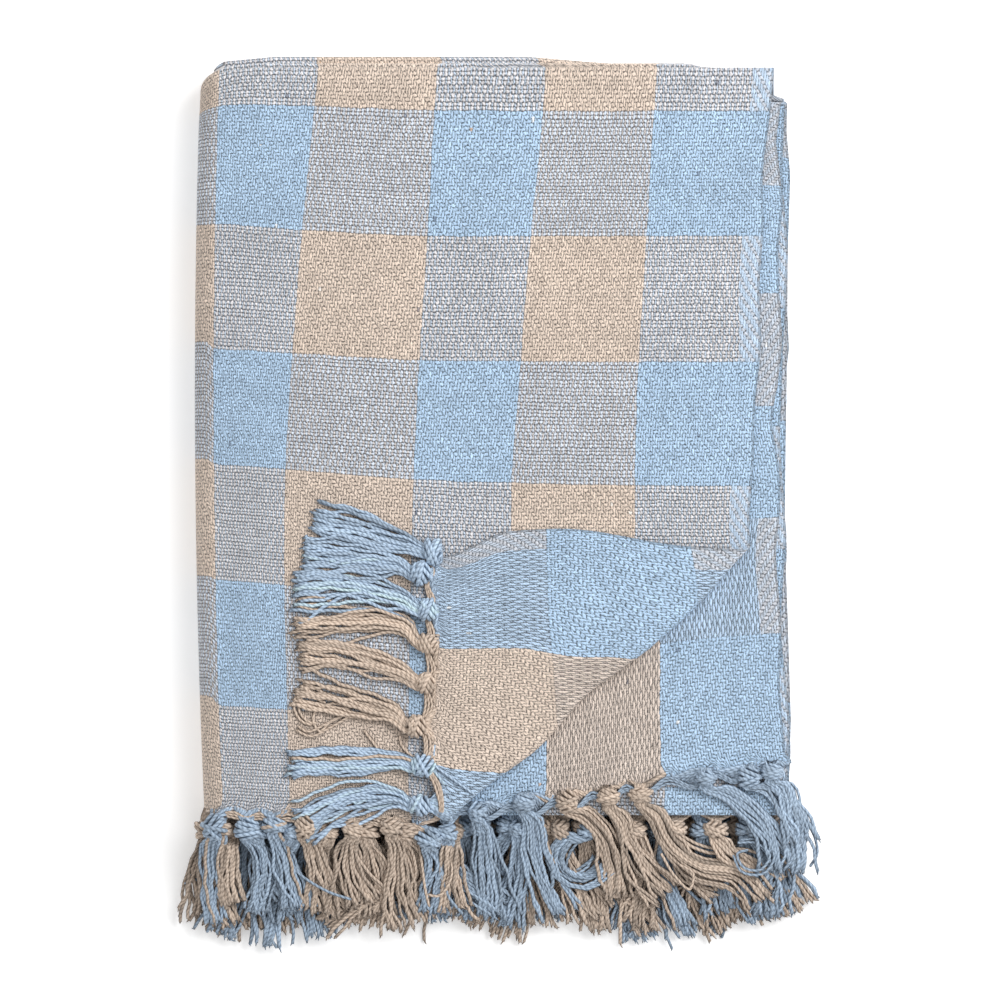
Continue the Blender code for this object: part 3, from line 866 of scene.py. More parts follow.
@dataclass(frozen=True)
class WovenCotton(Cotton):
    """The check's weave: a twill where warp and weft match, and a rib where they differ."""

    colours: CottonColours = CottonColours()
    # The threads and their stripes; row_lots counts weft stripes of one height from the first hem.
    width: float = 1.30
    end_pitch: float = 0.00137
    pick_pitch: float = 0.002066
    edge_stripe: float = 0.0655
    beige_stripe: float = 0.0685
    blue_stripe: float = 0.0538
    selvedge: float = 0.0115
    row_lots: tuple[tuple[int, float], ...] = ((7, 0.0687), (5, 0.0785), (11, 0.06687), (1, 0.081))
    # Scale and detail of the noises: the threads' drift and shake, single hairs, and light patches.
    drift: Pair = (70.0, 2.0)
    shake: Pair = (420.0, 1.0)
    hairs: Pair = (1250.0, 3.0)
    patches: Pair = (26.0, 2.0)
    drift_move: float = 0.00144
    shake_move: float = 0.00096
    hair: float = 1.15
    # A yarn's upper side: its round section, its two plies and how far it rises and dips.
    section: float = 3.6
    roundness: float = 0.50
    ply_length: float = 0.0019
    ply_slant: float = 0.9
    ply_relief: float = 0.09
    twill_bias: float = 0.08
    twill_swing: float = 0.40
    rib_swing: float = 0.27
    faced_swing: float = 0.29
    rib_dips: Pair = (0.30, 0.95)
    rib_lift: float = 0.09
    faced_sink: float = 0.37
    crossing: float = 0.06
    relief: float = 0.0009
    # Light and dark: painted shade and light by height, darker where the yarns dip into the pits between
    # them and lighter on their tops; lighter and darker in soft patches; and a painted shadow along the
    # selvedges' last threads, where one layer's edge meets the next.
    shade_range: Four = (0.73, 1.42, 0.14, 1.20)
    patch_range: Four = (0.3, 0.7, 0.95, 1.05)
    # Painted shadow: darker along the selvedge's last threads, where the layer's edge meets the one
    # below.
    painted_edge_shadow: Four = (0.0006, 0.0018, 0.62, 1.0)
    # The tones of single yarns and of their thick places, and the odd flecks in them.
    weft_offset: float = 37.0
    yarn_tones: Pair = (0.94, 1.06)
    slub_step: float = 0.22
    slub_tones: Four = (0.25, 0.75, -0.11, 0.11)
    float_tones: Pair = (-0.12, 0.12)
    fleck_step: float = 0.7
    fleck_kinds: Pair = (0.45, 0.7)
    fleck_from: float = 0.9993
    fleck_strength: float = 0.65

    def warp_is_beige(self, u: Array) -> Array:
        """Tells where the warp is beige.

        Args:
            u: Distances across the cloth.

        Returns:
            True for each that is beige.
        """
        repeat = self.beige_stripe + self.blue_stripe
        inside = (u > self.edge_stripe) & (u < self.width - self.edge_stripe)
        return inside & (np.mod((u - self.edge_stripe) / repeat, 1.0) < self.beige_stripe / repeat)

    def bundle_is_beige(self, u: Array) -> Array:
        """Tells which warp ends of one tassel are beige: most have the colour of its greater part."""
        beige = self.warp_is_beige(u)
        return np.where(np.arange(len(u)) % 6 == 2, beige, np.mean(beige) > 0.5)

    def build(self, face: Face) -> Material:
        """Makes the material for one face of the cloth.

        Args:
            face: The face that it shows.

        Returns:
            The material.
        """
        look = face.value
        sheet = NodeSheet(f"woven_cotton_{face.name.lower()}")
        u, v = sheet.uv("cloth")
        flat = sheet.vector(u, v)
        drift = sheet.parts(sheet.noise(flat, *self.drift, colour=True))
        shake = sheet.parts(sheet.noise(flat, *self.shake, colour=True))
        ends = self.thread_count(u, drift[0], shake[0], self.end_pitch)
        picks = self.thread_count(v, drift[1], shake[1], self.pick_pitch)
        end, end_side = self.split(ends)
        pick, pick_side = self.split(picks)
        warp, weft = self.warp_stripe(end), self.weft_stripe(pick)
        same = 1.0 - abs(warp - weft)
        inset = u.act("MINIMUM", self.width - u)
        edge = inset < self.selvedge
        match = same.act("MAXIMUM", edge)
        faced = 1.0 - edge if face is Face.REVERSE else 0.0
        warp_angle, weft_angle = self.angles(ends, picks, end, pick, match)

        own = edge * (1.0 - same) * look.edge_bias + self.twill_bias
        loose = sheet.span(faced, 0.0, 1.0, self.rib_swing * look.sign, self.faced_swing * look.sign)
        swing = between(loose, self.twill_swing * look.sign, match)
        turned = warp_angle.act("COSINE")
        dips = self.rib_dips[0] + turned * turned * self.rib_dips[1]
        depth = dips * (1.0 - match.act("MAXIMUM", faced))
        above = between(look.bias, own, match) + pick_side * pick_side * (depth * -1.0)
        warp_turns = picks * (self.pick_pitch / self.ply_length)
        weft_turns = ends * (self.end_pitch / self.ply_length)
        warp_top = self.yarn_top(end_side, warp_angle, warp_turns, swing) + above
        weft_top = self.yarn_top(pick_side, weft_angle, weft_turns, swing)
        over = sheet.span(warp_top - weft_top, -self.crossing, self.crossing, 0.0, 1.0)
        lift = sheet.span(faced * (1.0 - match), 0.0, 1.0, self.rib_lift, -self.faced_sink)
        height = warp_top.act("MAXIMUM", weft_top) + sheet.noise(flat, *self.hairs) * self.hair
        height = height + lift * (1.0 - match)

        warp_fuzz = sheet.span(edge, 0.0, 1.0, look.fuzz[0], look.edge_fuzz[0])
        weft_fuzz = sheet.span(edge, 0.0, 1.0, look.fuzz[1], look.edge_fuzz[1])
        warp_colour = self.yarn_colour(between(warp, weft, warp_fuzz), end, picks, 0.0)
        weft_colour = self.yarn_colour(between(weft, warp, weft_fuzz), pick, ends, self.weft_offset)
        # Painted shade: light by height, in soft patches, by the rib's gain and by the painted shadow at
        # the selvedges, multiplied into the yarn colour.
        light = sheet.span(height, *self.shade_range, smooth=True)
        light = light * sheet.span(sheet.noise(flat, *self.patches), *self.patch_range)
        light = light * sheet.span(match, 0.0, 1.0, look.rib_gain, 1.0)
        light = light * sheet.span(inset, *self.painted_edge_shadow, smooth=True)
        colour = sheet.dimmed(sheet.blend(over, weft_colour, warp_colour), light)
        return self.finish(sheet, colour, height, self.relief)

    def thread_count(self, place: Value, drift: Value, shake: Value, pitch: float) -> Value:
        """Counts threads along one direction, with the yarns' unevenness."""
        moved = place + ((drift - 0.5) * self.drift_move + (shake - 0.5) * self.shake_move)
        return moved / pitch

    def split(self, count: Value) -> tuple[Value, Value]:
        """Returns a thread's number and the place across it, from -0.5 to 0.5."""
        number = count.act("FLOOR")
        return number, count - number - 0.5

    def warp_stripe(self, end: Value) -> Value:
        """Tells the colour of the warp.

        Args:
            end: Number of the warp end.

        Returns:
            1 where it is beige, 0 where it is blue.
        """
        place = (end + 0.5) * self.end_pitch
        repeat = self.beige_stripe + self.blue_stripe
        beige = ((place - self.edge_stripe) / repeat).act("FRACT") < self.beige_stripe / repeat
        return beige * ((place > self.edge_stripe) * (place < self.width - self.edge_stripe))

    def weft_stripe(self, pick: Value) -> Value:
        """Tells the colour of the weft.

        Args:
            pick: Number of the weft pick.

        Returns:
            1 where it is beige, 0 where it is blue.
        """
        place = (pick + 0.5) * self.pick_pitch
        number: Amount = 0.0
        start, counted = 0.0, 0
        for rows, height in self.row_lots:
            own = ((place - start) / height).act("FLOOR").act("MINIMUM", float(rows - 1))
            number = between(number, own + float(counted), place > start)
            start, counted = start + rows * height, counted + rows
        return 1.0 - ((number * 0.5).act("FRACT") * 2.0).act("ROUND")

    def angles(
        self, ends: Value, picks: Value, end: Value, pick: Value, match: Value
    ) -> tuple[Value, Value]:
        """Angles whose cosine is the warp's rise and the weft's, in the twill and in the two-pick rib.

        Args:
            ends: Place across in warp ends.
            picks: Place along in weft picks.
            end: Number of the warp end.
            pick: Number of the weft pick.
            match: 1 for the twill, 0 for the rib.

        Returns:
            The angle of the warp and of the weft.
        """
        twill_warp = (picks + end - 1.0) * (math.pi / 2)
        rib_warp = (picks - (end * 2.0 + 1.0)) * (math.pi / 2)
        twill_weft = (ends + pick + 1.0) * (math.pi / 2)
        rib_weft = (ends - ((pick * 0.5).act("FLOOR") + 1.5)) * math.pi
        return between(rib_warp, twill_warp, match), between(rib_weft, twill_weft, match)

    def yarn_top(self, side: Value, angle: Value, along: Value, swing: Value) -> Value:
        """Height of a yarn's upper side, from its round section, its rise and its twist.

        Args:
            side: Place across the yarn, from -0.5 to 0.5.
            angle: Angle whose cosine is its rise on the front.
            along: Place along the yarn, in turns of its twist.
            swing: How far it rises, below 0 on the reverse.

        Returns:
            The height.
        """
        turns = along + side * self.ply_slant
        ply = (turns * (2 * math.pi)).act("COSINE") * self.ply_relief
        return (1.0 - side * side * self.section) * self.roundness + angle.act("COSINE") * swing + ply

    def yarn_colour(self, beige: Value, number: Value, along: Value, offset: float) -> Value:
        """Colour of one yarn, with its own tone, its heathering and a few odd fibres.

        Args:
            beige: 1 where the yarn is beige.
            number: The yarn's number.
            along: Place along it, in crossings.
            offset: Parts the random draws of warp and weft.

        Returns:
            The colour.
        """
        sheet, colours = beige.sheet, self.colours
        base = sheet.blend(beige, colours.blue, colours.beige)
        tone = sheet.chance(sheet.vector(number, offset))
        slub = sheet.noise(sheet.vector(number, along * self.slub_step, offset), 1.0, 1.0)
        floats = sheet.chance(sheet.vector(number, (along * 0.5).act("FLOOR"), offset + 2.0))
        light = sheet.span(tone, 0.0, 1.0, *self.yarn_tones) + sheet.span(slub, *self.slub_tones)
        light = light + sheet.span(floats, 0.0, 1.0, *self.float_tones)
        spot = sheet.vector(number, (along * self.fleck_step).act("FLOOR"), offset + 5.0)
        draw, kind, _ = sheet.parts(sheet.chance(spot, colour=True))
        fleck = sheet.blend(kind > self.fleck_kinds[0], colours.dark_fleck, colours.ochre_fleck)
        fleck = sheet.blend(kind > self.fleck_kinds[1], fleck, colours.pale_fleck)
        share = (draw > self.fleck_from) * self.fleck_strength
        return sheet.blend(share, sheet.dimmed(base, light), fleck)


@dataclass(frozen=True)
class FringeYarn(Cotton):
    """Loose two-ply yarn, twisted and soft, with painted shade in its grooves and on its inner side."""

    turn: float = 0.0062
    girth: float = 0.004
    hairs: Pair = (2600.0, 2.0)
    slubs: Pair = (110.0, 1.0)
    ply_height: float = 0.85
    hair_height: float = 0.7
    # Painted shade: darker in the ply grooves by height, and on the inner side that faces into the
    # tassel or knot.
    height_shade: Four = (0.15, 1.25, 0.32, 1.06)
    slub_shade: Four = (0.3, 0.7, 0.90, 1.04)
    inner_shade: Four = (0.15, 0.75, 0.12, 1.0)
    # How dark the painted shade in the grooves is, on a deeper copy of the yarn's colour.
    painted_groove_shade: float = 0.30
    relief: float = 0.00045

    def build(self) -> Material:
        """Makes the material of the fringe.

        Returns:
            The material.
        """
        sheet = NodeSheet("two_ply_cotton")
        around, along = sheet.uv("yarn")
        tint = sheet.add("Attribute", {}, attribute_name="yarn_tint")[0]
        outer = sheet.add("Attribute", {}, attribute_name="yarn_outer")[2]
        ply = abs(((around - along / self.turn) * (2 * math.pi)).act("COSINE"))
        place = sheet.vector(around * self.girth, along)
        height = ply * self.ply_height + sheet.noise(place, *self.hairs) * self.hair_height
        shade = sheet.span(height, *self.height_shade)
        shade = shade * sheet.span(sheet.noise(place, *self.slubs), *self.slub_shade)
        shade = shade * sheet.span(outer, *self.inner_shade, smooth=True)
        # Painted shade: where it is darkest, the colour turns to a darker, deeper copy of itself.
        painted_groove_colour = sheet.blend(1.0, tint, tint, "MULTIPLY")
        painted_groove_colour = sheet.blend(1.0, painted_groove_colour, (self.painted_groove_shade, self.painted_groove_shade, self.painted_groove_shade), "MULTIPLY")
        return self.finish(sheet, sheet.blend(shade, painted_groove_colour, tint), height, self.relief)


# ---------------- the cloth


@dataclass
class WovenThrow:
    """The woven sheet in its folds, with its corner turned back."""

    folds: FoldMap
    weave: WovenCotton
    # Shares of a run at which rows stand close together at a hem, and how many stand elsewhere.
    near_hem: Numbers = (0.0, 0.0036, 0.0072, 0.0115, 0.0168, 0.0235, 0.0320)
    top_from: float = 0.042
    top_steps: int = 98
    second_coarse_steps: int = 8
    second_fine_span: Pair = (0.45, 0.958)
    second_steps: int = 40
    hidden_steps: int = 9
    fine_columns: int = 143
    coarse_columns: int = 12
    fold_steps_across: tuple[int, int, int] = (5, 9, 14)
    fold_steps_along: tuple[int, int, int] = (9, 5, 5)
    bend_cuts: int = 9

    def stations(self) -> tuple[Array, Array]:
        """Spaces the sheet's grid.

        Returns:
            Its rows and its columns.
        """
        near_hem = np.array(self.near_hem)
        top = np.concatenate([near_hem, np.linspace(self.top_from, 1, self.top_steps)])
        start, end = self.second_fine_span
        coarse_rows = np.linspace(0, start, self.second_coarse_steps)[:-1]
        fine_rows = np.linspace(start, end, self.second_steps)
        second = np.concatenate([coarse_rows, fine_rows, 1 - near_hem[::-1]])
        hidden = np.linspace(0, 1, self.hidden_steps)
        rows = self.folds.rows((top, hidden, hidden, second), self.fold_steps_along)
        coarse, fine = (np.linspace(0, 1, count) for count in (self.coarse_columns, self.fine_columns))
        return rows, self.folds.columns((coarse, coarse, coarse, fine), self.fold_steps_across)

    def build(self) -> Piece:
        """Makes the sheet.

        Returns:
            The finished piece, with both faces and its thickness.
        """
        edited = bmesh.new()
        self.lay_out(edited)
        self.turn_corner(edited)
        self.unwrap(edited)
        mesh = bpy.data.meshes.new("woven_throw")
        edited.to_mesh(mesh)
        edited.free()
        for face in Face:
            mesh.materials.append(self.weave.build(face))
        piece = bpy.data.objects.new("woven_throw", mesh)
        bpy.context.scene.collection.objects.link(piece)
        thickness = piece.modifiers.new("thickness", "SOLIDIFY")
        thickness.thickness = self.folds.thickness
        thickness.offset = 0.0
        thickness.use_even_offset = True
        thickness.material_offset = 1
        bpy.context.view_layer.objects.active = piece
        piece.select_set(True)
        bpy.ops.object.modifier_apply(modifier="thickness")
        piece.select_set(False)
        return piece

    def lay_out(self, edited: EditMesh) -> None:
        """Fills the mesh with the folded grid; each point keeps its place in the flat cloth.

        Args:
            edited: The empty mesh.
        """
        rows, columns = self.stations()
        points, layer = self.folds.place(rows, columns)
        on_top = (layer < 1.0 + TOLERANCE) & (columns[:, 0] == self.folds.top_panel)[None, :]
        layer_u = edited.verts.layers.float.new("u")
        layer_v = edited.verts.layers.float.new("v")
        tag = edited.faces.layers.int.new("top")
        verts = []
        for row, v in enumerate(rows[:, 2]):
            for column, u in enumerate(columns[:, 3]):
                vert = edited.verts.new(points[row, column])
                vert[layer_u], vert[layer_v] = u, v
                verts.append(vert)
        wide = len(columns)
        for row in range(len(rows) - 1):
            for column in range(wide - 1):
                start = row * wide + column
                around = (start, start + 1, start + wide + 1, start + wide)
                face = edited.faces.new([verts[index] for index in around])
                face.smooth = True
                face[tag] = int(on_top[row, column] and on_top[row + 1, column + 1])

    def turn_corner(self, edited: EditMesh) -> None:
        """Cuts crease lines into the top layer and turns its near right corner back.

        Args:
            edited: The folded sheet.
        """
        tag = edited.faces.layers.int["top"]
        bend = math.pi * self.folds.bend_radius
        normal = Vector((1, -1, 0)).normalized()
        on_line = Vector((self.folds.flap_line / 2, -self.folds.flap_line / 2, 0))
        for cut in range(self.bend_cuts + 1):
            faces = [face for face in edited.faces if face[tag]]
            edges = {edge for face in faces for edge in face.edges}
            verts = {vert for face in faces for vert in face.verts}
            place = on_line + normal * (bend * cut / self.bend_cuts)
            cut_up = [*faces, *edges, *verts]
            bmesh.ops.bisect_plane(
                edited, geom=cut_up, plane_co=place, plane_no=normal, dist=TOLERANCE
            )
        top = list({vert for face in edited.faces if face[tag] for vert in face.verts})
        for moved, move in ((top, self.folds.turned), (list(edited.verts), self.folds.lift)):
            for vert, place in zip(moved, move(np.array([vert.co for vert in moved]))):
                vert.co = place

    def unwrap(self, edited: EditMesh) -> None:
        """Gives each face corner its place in the flat cloth as its UV.

        Args:
            edited: The folded sheet.
        """
        layer_u, layer_v = (edited.verts.layers.float[name] for name in ("u", "v"))
        uv = edited.loops.layers.uv.new("cloth")
        for face in edited.faces:
            for loop in face.loops:
                loop[uv].uv = (loop.vert[layer_u], loop.vert[layer_v])


# ---------------- the fringe


def square_to(along: Array, vectors: Array) -> Array:
    """Returns vectors turned square to others of length 1, at a length of 1."""
    return lengthened(vectors - along * np.sum(along * vectors, axis=1, keepdims=True))


class YarnMesh:
    """Gathers round yarns and joins them in one mesh."""

    steep = 0.9
    lowest = 0.0001
    longest_start = 0.5

    def __init__(self) -> None:
        """Starts with no yarn."""
        self.points: list[Array] = []
        self.faces: list[list[int]] = []
        self.uvs: list[Array] = []
        self.tints: list[Array] = []
        self.outers: list[Array] = []
        self.count = 0

    def add(
        self,
        paths: Array,
        radii: Array,
        tints: Array,
        sides: int,
        draws: Draws,
        heart: Array | None = None,
    ) -> None:
        """Adds yarns that all have the same number of stations.

        Args:
            paths: Middle lines, as yarn, station and axis.
            radii: Radius of each yarn at each station.
            tints: Colour of each yarn.
            sides: How many sides a yarn has.
            draws: Source of the yarns' chance turns.
            heart: What they are wound around; without it their outer side is the upper one.
        """
        yarns, stations = paths.shape[:2]
        tangent = lengthened(np.gradient(paths, axis=1))
        helper = np.where(np.abs(tangent[:, 0, 2:3]) > self.steep, np.array([1.0, 0, 0]), UP)
        normal = lengthened(np.cross(tangent[:, 0], helper))
        outward = np.broadcast_to(UP, paths.shape) if heart is None else paths - heart
        angles = 2 * np.pi * np.arange(sides) / sides
        cosine, sine = np.cos(angles)[None, :, None], np.sin(angles)[None, :, None]
        rings = np.empty((yarns, stations, sides, 3))
        outer = np.empty((yarns, stations, sides))
        for station in range(stations):
            along = tangent[:, station]
            normal = square_to(along, normal)
            spokes = cosine * normal[:, None] + sine * np.cross(along, normal)[:, None]
            rings[:, station] = paths[:, station, None] + spokes * radii[:, station, None, None]
            # How far each ring point faces outward; the yarn's material paints shade on the inner side
            # from it.
            outer[:, station] = np.sum(spokes * square_to(along, outward[:, station])[:, None], axis=2)
        rings[..., 2] = np.maximum(rings[..., 2], self.lowest)
        self.join(walked(paths), sides, draws)
        self.points.append(rings.reshape(-1, 3))
        self.tints.append(np.repeat(tints, stations * sides, axis=0))
        self.outers.append(outer.ravel())
        self.count += yarns * stations * sides

    def join(self, lengths: Array, sides: int, draws: Draws) -> None:
        """Adds the faces between the rings of yarns and at their ends.

        Args:
            lengths: Distance along each yarn at each station.
            sides: How many sides a yarn has.
            draws: Source of the yarns' chance turns.
        """
        yarns, stations = lengths.shape
        start_turn, start_length = draws.random(yarns), draws.random(yarns) * self.longest_start
        station, side = (number.ravel() for number in np.indices((stations - 1, sides)))
        after, ring = (side + 1) % sides, station * sides
        quad = np.stack([ring + side, ring + after, ring + sides + after, ring + sides + side], axis=1)
        for yarn in range(yarns):
            first = self.count + yarn * stations * sides
            last = first + (stations - 1) * sides
            self.faces += (quad + first).tolist()
            self.faces.append(list(range(first + sides - 1, first - 1, -1)))
            self.faces.append(list(range(last, last + sides)))
            low, high = (lengths[yarn, at] + start_length[yarn] for at in (station, station + 1))
            left, right = (at / sides + start_turn[yarn] for at in (side, side + 1))
            corners_uv = np.stack([left, low, right, low, right, high, left, high], axis=1)
            self.uvs.append(corners_uv.reshape(-1, 2))
            self.uvs.append(np.tile([[start_turn[yarn], start_length[yarn]]], (2 * sides, 1)))

    def build(self, name: str, material: Material) -> Piece:
        """Joins the yarns in one piece.

        Args:
            name: The piece's name.
            material: Its finish.

        Returns:
            The piece.
        """
        mesh = bpy.data.meshes.new(name)
        mesh.from_pydata(np.concatenate(self.points).tolist(), [], self.faces)
        uv = mesh.uv_layers.new(name="yarn")
        uv.data.foreach_set("uv", np.concatenate(self.uvs).astype(np.float32).ravel())
        tints = np.concatenate(self.tints)
        tints = np.concatenate([tints, np.ones((len(tints), 1))], axis=1)
        tint = mesh.attributes.new("yarn_tint", "FLOAT_COLOR", "POINT")
        tint.data.foreach_set("color", tints.astype(np.float32).ravel())
        outer = mesh.attributes.new("yarn_outer", "FLOAT", "POINT")
        outer.data.foreach_set("value", np.concatenate(self.outers).astype(np.float32))
        mesh.polygons.foreach_set("use_smooth", np.ones(len(mesh.polygons), bool))
        mesh.materials.append(material)
        mesh.update()
        piece = bpy.data.objects.new(name, mesh)
        bpy.context.scene.collection.objects.link(piece)
        return piece


@dataclass
class Tassel:
    """One knotted tassel. A pair of numbers is often a least measure and what chance adds to it.

    Attributes:
        roots: Where its warp ends leave the cloth.
        out: Direction away from the cloth.
        knot: Middle of the knot.
        path: Stations of the tassel's middle line after the knot, the last at its tip.
        spread: Half width at each of those stations.
        beige: Whether each warp end is beige.
        fine: Whether the yarns are finely stepped.
        painted_light_gains: How light its blue and its beige yarns are: painted light and shade, for the
            same yarn lighter on the turned corner and darker in the hem's fringe.
    """

    roots: Array
    out: Array
    knot: Array
    path: Array
    spread: Sequence[float]
    beige: Array
    fine: bool = True
    # Painted shade: the hem's tassels are darkened from the yarn colours.
    painted_light_gains: Pair = (0.93, 0.90)
    tone_change: float = 0.12
    tint_limits: Pair = (0.02, 0.95)
    # Its yarns at the hem, and through the knot: place along it, spread across and in height.
    yarn_radius: float = 0.00104
    yarn_change: float = 0.08
    yarn_sides: int = 5
    yarn_stations: tuple[int, int] = (20, 13)
    root_reaches: Pair = (-0.0022, 0.0004)
    knot_stations: tuple[Triple, ...] = (
        (-1.0, 0.0030, 0.0006),
        (0.0, 0.0024, 0.0008),
        (0.9, 0.0036, 0.0008),
    )
    # Its yarns below the knot: how they lie over each other, change places, stray and ripple.
    tiers: Pair = (0.5, 0.35)
    tier_heights: Pair = (0.0010, 0.0005)
    shuffle: Pair = (0.52, 1.25)
    drift: float = 0.12
    tip_change: float = 0.0014
    wild_share: float = 0.10
    wild_reach: float = 0.006
    wander: float = 0.0021
    wander_turns: Pair = (0.9, 0.7)
    wander_span: Pair = (0.15, 0.7)
    ripple: float = 0.00065
    ripple_growth: float = 0.7
    ripple_lengths: Pair = (0.012, 0.006)
    # Its knot: half its length, width and height, and the wraps that cross on it.
    knot_halves: Triple = (0.0060, 0.0066, 0.0053)
    knot_change: float = 0.09
    knot_sizes: Pair = (0.92, 0.16)
    wraps: int = 7
    wrap_sides: int = 6
    wrap_stations: tuple[int, int] = (15, 11)
    wrap_turn: float = 1.15 * np.pi
    wrap_tilts: Pair = (0.35, 0.40)
    wrap_tilt_change: float = 0.12
    upper_tilt: float = -0.7
    lower_places: Pair = (-0.84, 0.40)
    upper_places: Pair = (0.05, 0.80)
    upper_gain: float = 1.08
    ring_change: float = 0.06
    tuck: float = 0.35
    tuck_from: float = 0.85 * np.pi
    wrap_radius: float = 1.24
    wrap_depth: float = 1.2
    own_colour_share: float = 0.85
    # The loose fibres at its yarns' cut ends.
    fibres: tuple[int, int] = (3, 2)
    fibre_sides: int = 3
    fibre_lean: Triple = (0.30, 0.30, 0.10)
    fibre_step: Pair = (0.0006, 0.0006)
    fibre_bend: Triple = (0.0004, 0.0004, 0.0001)
    fibre_root: float = 0.0008
    fibre_radii: Triple = (0.00070, 0.00056, 0.00022)
    fibre_gain: float = 1.05
    fibre_lightest: float = 0.97

    def across(self) -> Array:
        """Returns the level direction across the tassel."""
        return lengthened(np.cross(self.out, UP))

    def tint(self, beige: Array, draws: Draws, colours: CottonColours) -> Array:
        """Gives yarns their colours, each with its own tone, lightened or darkened by the tassel's
        painted light and shade.

        Args:
            beige: Whether each yarn is beige.
            draws: Source of chance.
            colours: The yarn colours.

        Returns:
            A colour for each yarn.
        """
        blue = np.array(colours.loose_blue) * self.painted_light_gains[0]
        base = np.where(beige[:, None], np.array(colours.loose_beige) * self.painted_light_gains[1], blue)
        tone = 1 + self.tone_change * draws.standard_normal((len(beige), 1))
        return np.clip(base * tone, *self.tint_limits)

    def add_to(self, yarns: YarnMesh, draws: Draws, colours: CottonColours) -> None:
        """Adds the tassel's yarns and its knot to a mesh of yarns.

        Args:
            yarns: The mesh of yarns.
            draws: Source of chance.
            colours: The yarn colours.
        """
        knots = self.controls(draws)
        count = len(self.roots)
        lengths = walked(knots.mean(axis=0))
        samples = self.yarn_stations[0 if self.fine else 1]
        weights = curve_weights(lengths, np.linspace(0, lengths[-1], samples))
        paths = np.einsum("sk,ykc->ysc", weights, knots)
        share = np.linspace(0, 1, samples)[None, :]
        phase = draws.random((count, 1)) * 2 * np.pi
        period = self.ripple_lengths[0] + self.ripple_lengths[1] * draws.random((count, 1))
        ripple = self.ripple * np.sin(2 * np.pi * lengths[-1] * share / period + phase)
        ripple = ripple * share**self.ripple_growth
        sweep = self.wander * draws.standard_normal((count, 1))
        turns = self.wander_turns[0] + self.wander_turns[1] * draws.random((count, 1))
        sweep = sweep * np.sin(2 * np.pi * turns * share + phase)
        sideways = ripple + sweep * smooth_step(share, *self.wander_span)
        paths += sideways[..., None] * self.across()
        change = 1 + self.yarn_change * draws.standard_normal((count, 1))
        radii = np.full((count, samples), self.yarn_radius) * change
        tints = self.tint(self.beige, draws, colours)
        yarns.add(paths, radii, tints, self.yarn_sides, draws)
        self.fray(yarns, paths, tints, draws)
        self.wrap(yarns, draws, colours)

    def controls(self, draws: Draws) -> Array:
        """Leads each yarn from the hem through the knot to its tip.

        Args:
            draws: Source of chance.

        Returns:
            Places that each yarn passes, as yarn, place and axis.
        """
        side, count = self.across(), len(self.roots)
        rank = np.empty(count)
        rank[np.argsort((self.roots - self.knot) @ side)] = np.linspace(-1, 1, count)
        tier = np.where(np.arange(count) % 2 == 0, 1.0, -1.0) * self.tiers[0]
        tier = tier + self.tiers[1] * draws.standard_normal(count)
        found = [self.roots + self.out * reach for reach in self.root_reaches]
        for place, across, height in self.knot_stations:
            middle = self.knot + self.out * self.knot_halves[0] * place
            found.append(middle + np.outer(rank * across, side) + np.outer(tier * height, UP))
        shuffled = (rank + draws.standard_normal(count) * self.shuffle[0]) / self.shuffle[1]
        drift = draws.standard_normal(count) * self.drift
        uneven = draws.standard_normal(count) * self.tip_change
        wild = (draws.random(count) < self.wild_share) * draws.standard_normal(count) * self.wild_reach
        before, stations = self.knot, len(self.path)
        for index, (middle, half) in enumerate(zip(self.path, self.spread)):
            heading = lengthened(self.path[min(index + 1, stations - 1)] - before)
            sideways = lengthened(np.cross(heading, UP))
            share = (index + 1) / stations
            place = rank + (shuffled - rank) * share + drift * share * share
            level = tier * (self.tier_heights[0] * (1 - share) + self.tier_heights[1])
            row = middle + np.outer(place * half + wild * share**2, sideways) + np.outer(level, UP)
            found.append(row)
            before = middle
        found[-1] = found[-1] + heading * uneven[:, None]
        return np.stack(found, axis=1)

    def fray(self, yarns: YarnMesh, paths: Array, tints: Array, draws: Draws) -> None:
        """Adds the loose fibres at the yarns' cut ends.

        Args:
            yarns: The mesh of yarns.
            paths: The yarns' middle lines.
            tints: Their colours.
            draws: Source of chance.
        """
        heading = lengthened(paths[:, -1] - paths[:, -2])
        size = (len(paths), 3)
        for _ in range(self.fibres[0 if self.fine else 1]):
            lean = draws.standard_normal(size) * np.array(self.fibre_lean)
            reach = self.fibre_step[0] + self.fibre_step[1] * draws.random((len(paths), 1))
            step = (heading + lean) * reach
            bend = draws.standard_normal(size) * np.array(self.fibre_bend)
            tip = paths[:, -1] - heading * self.fibre_root
            line = np.stack([tip, tip + step, tip + 2 * step + bend], axis=1)
            radii = np.tile(self.fibre_radii, (len(paths), 1))
            light = np.clip(tints * self.fibre_gain, 0, self.fibre_lightest)
            yarns.add(line, radii, light, self.fibre_sides, draws)

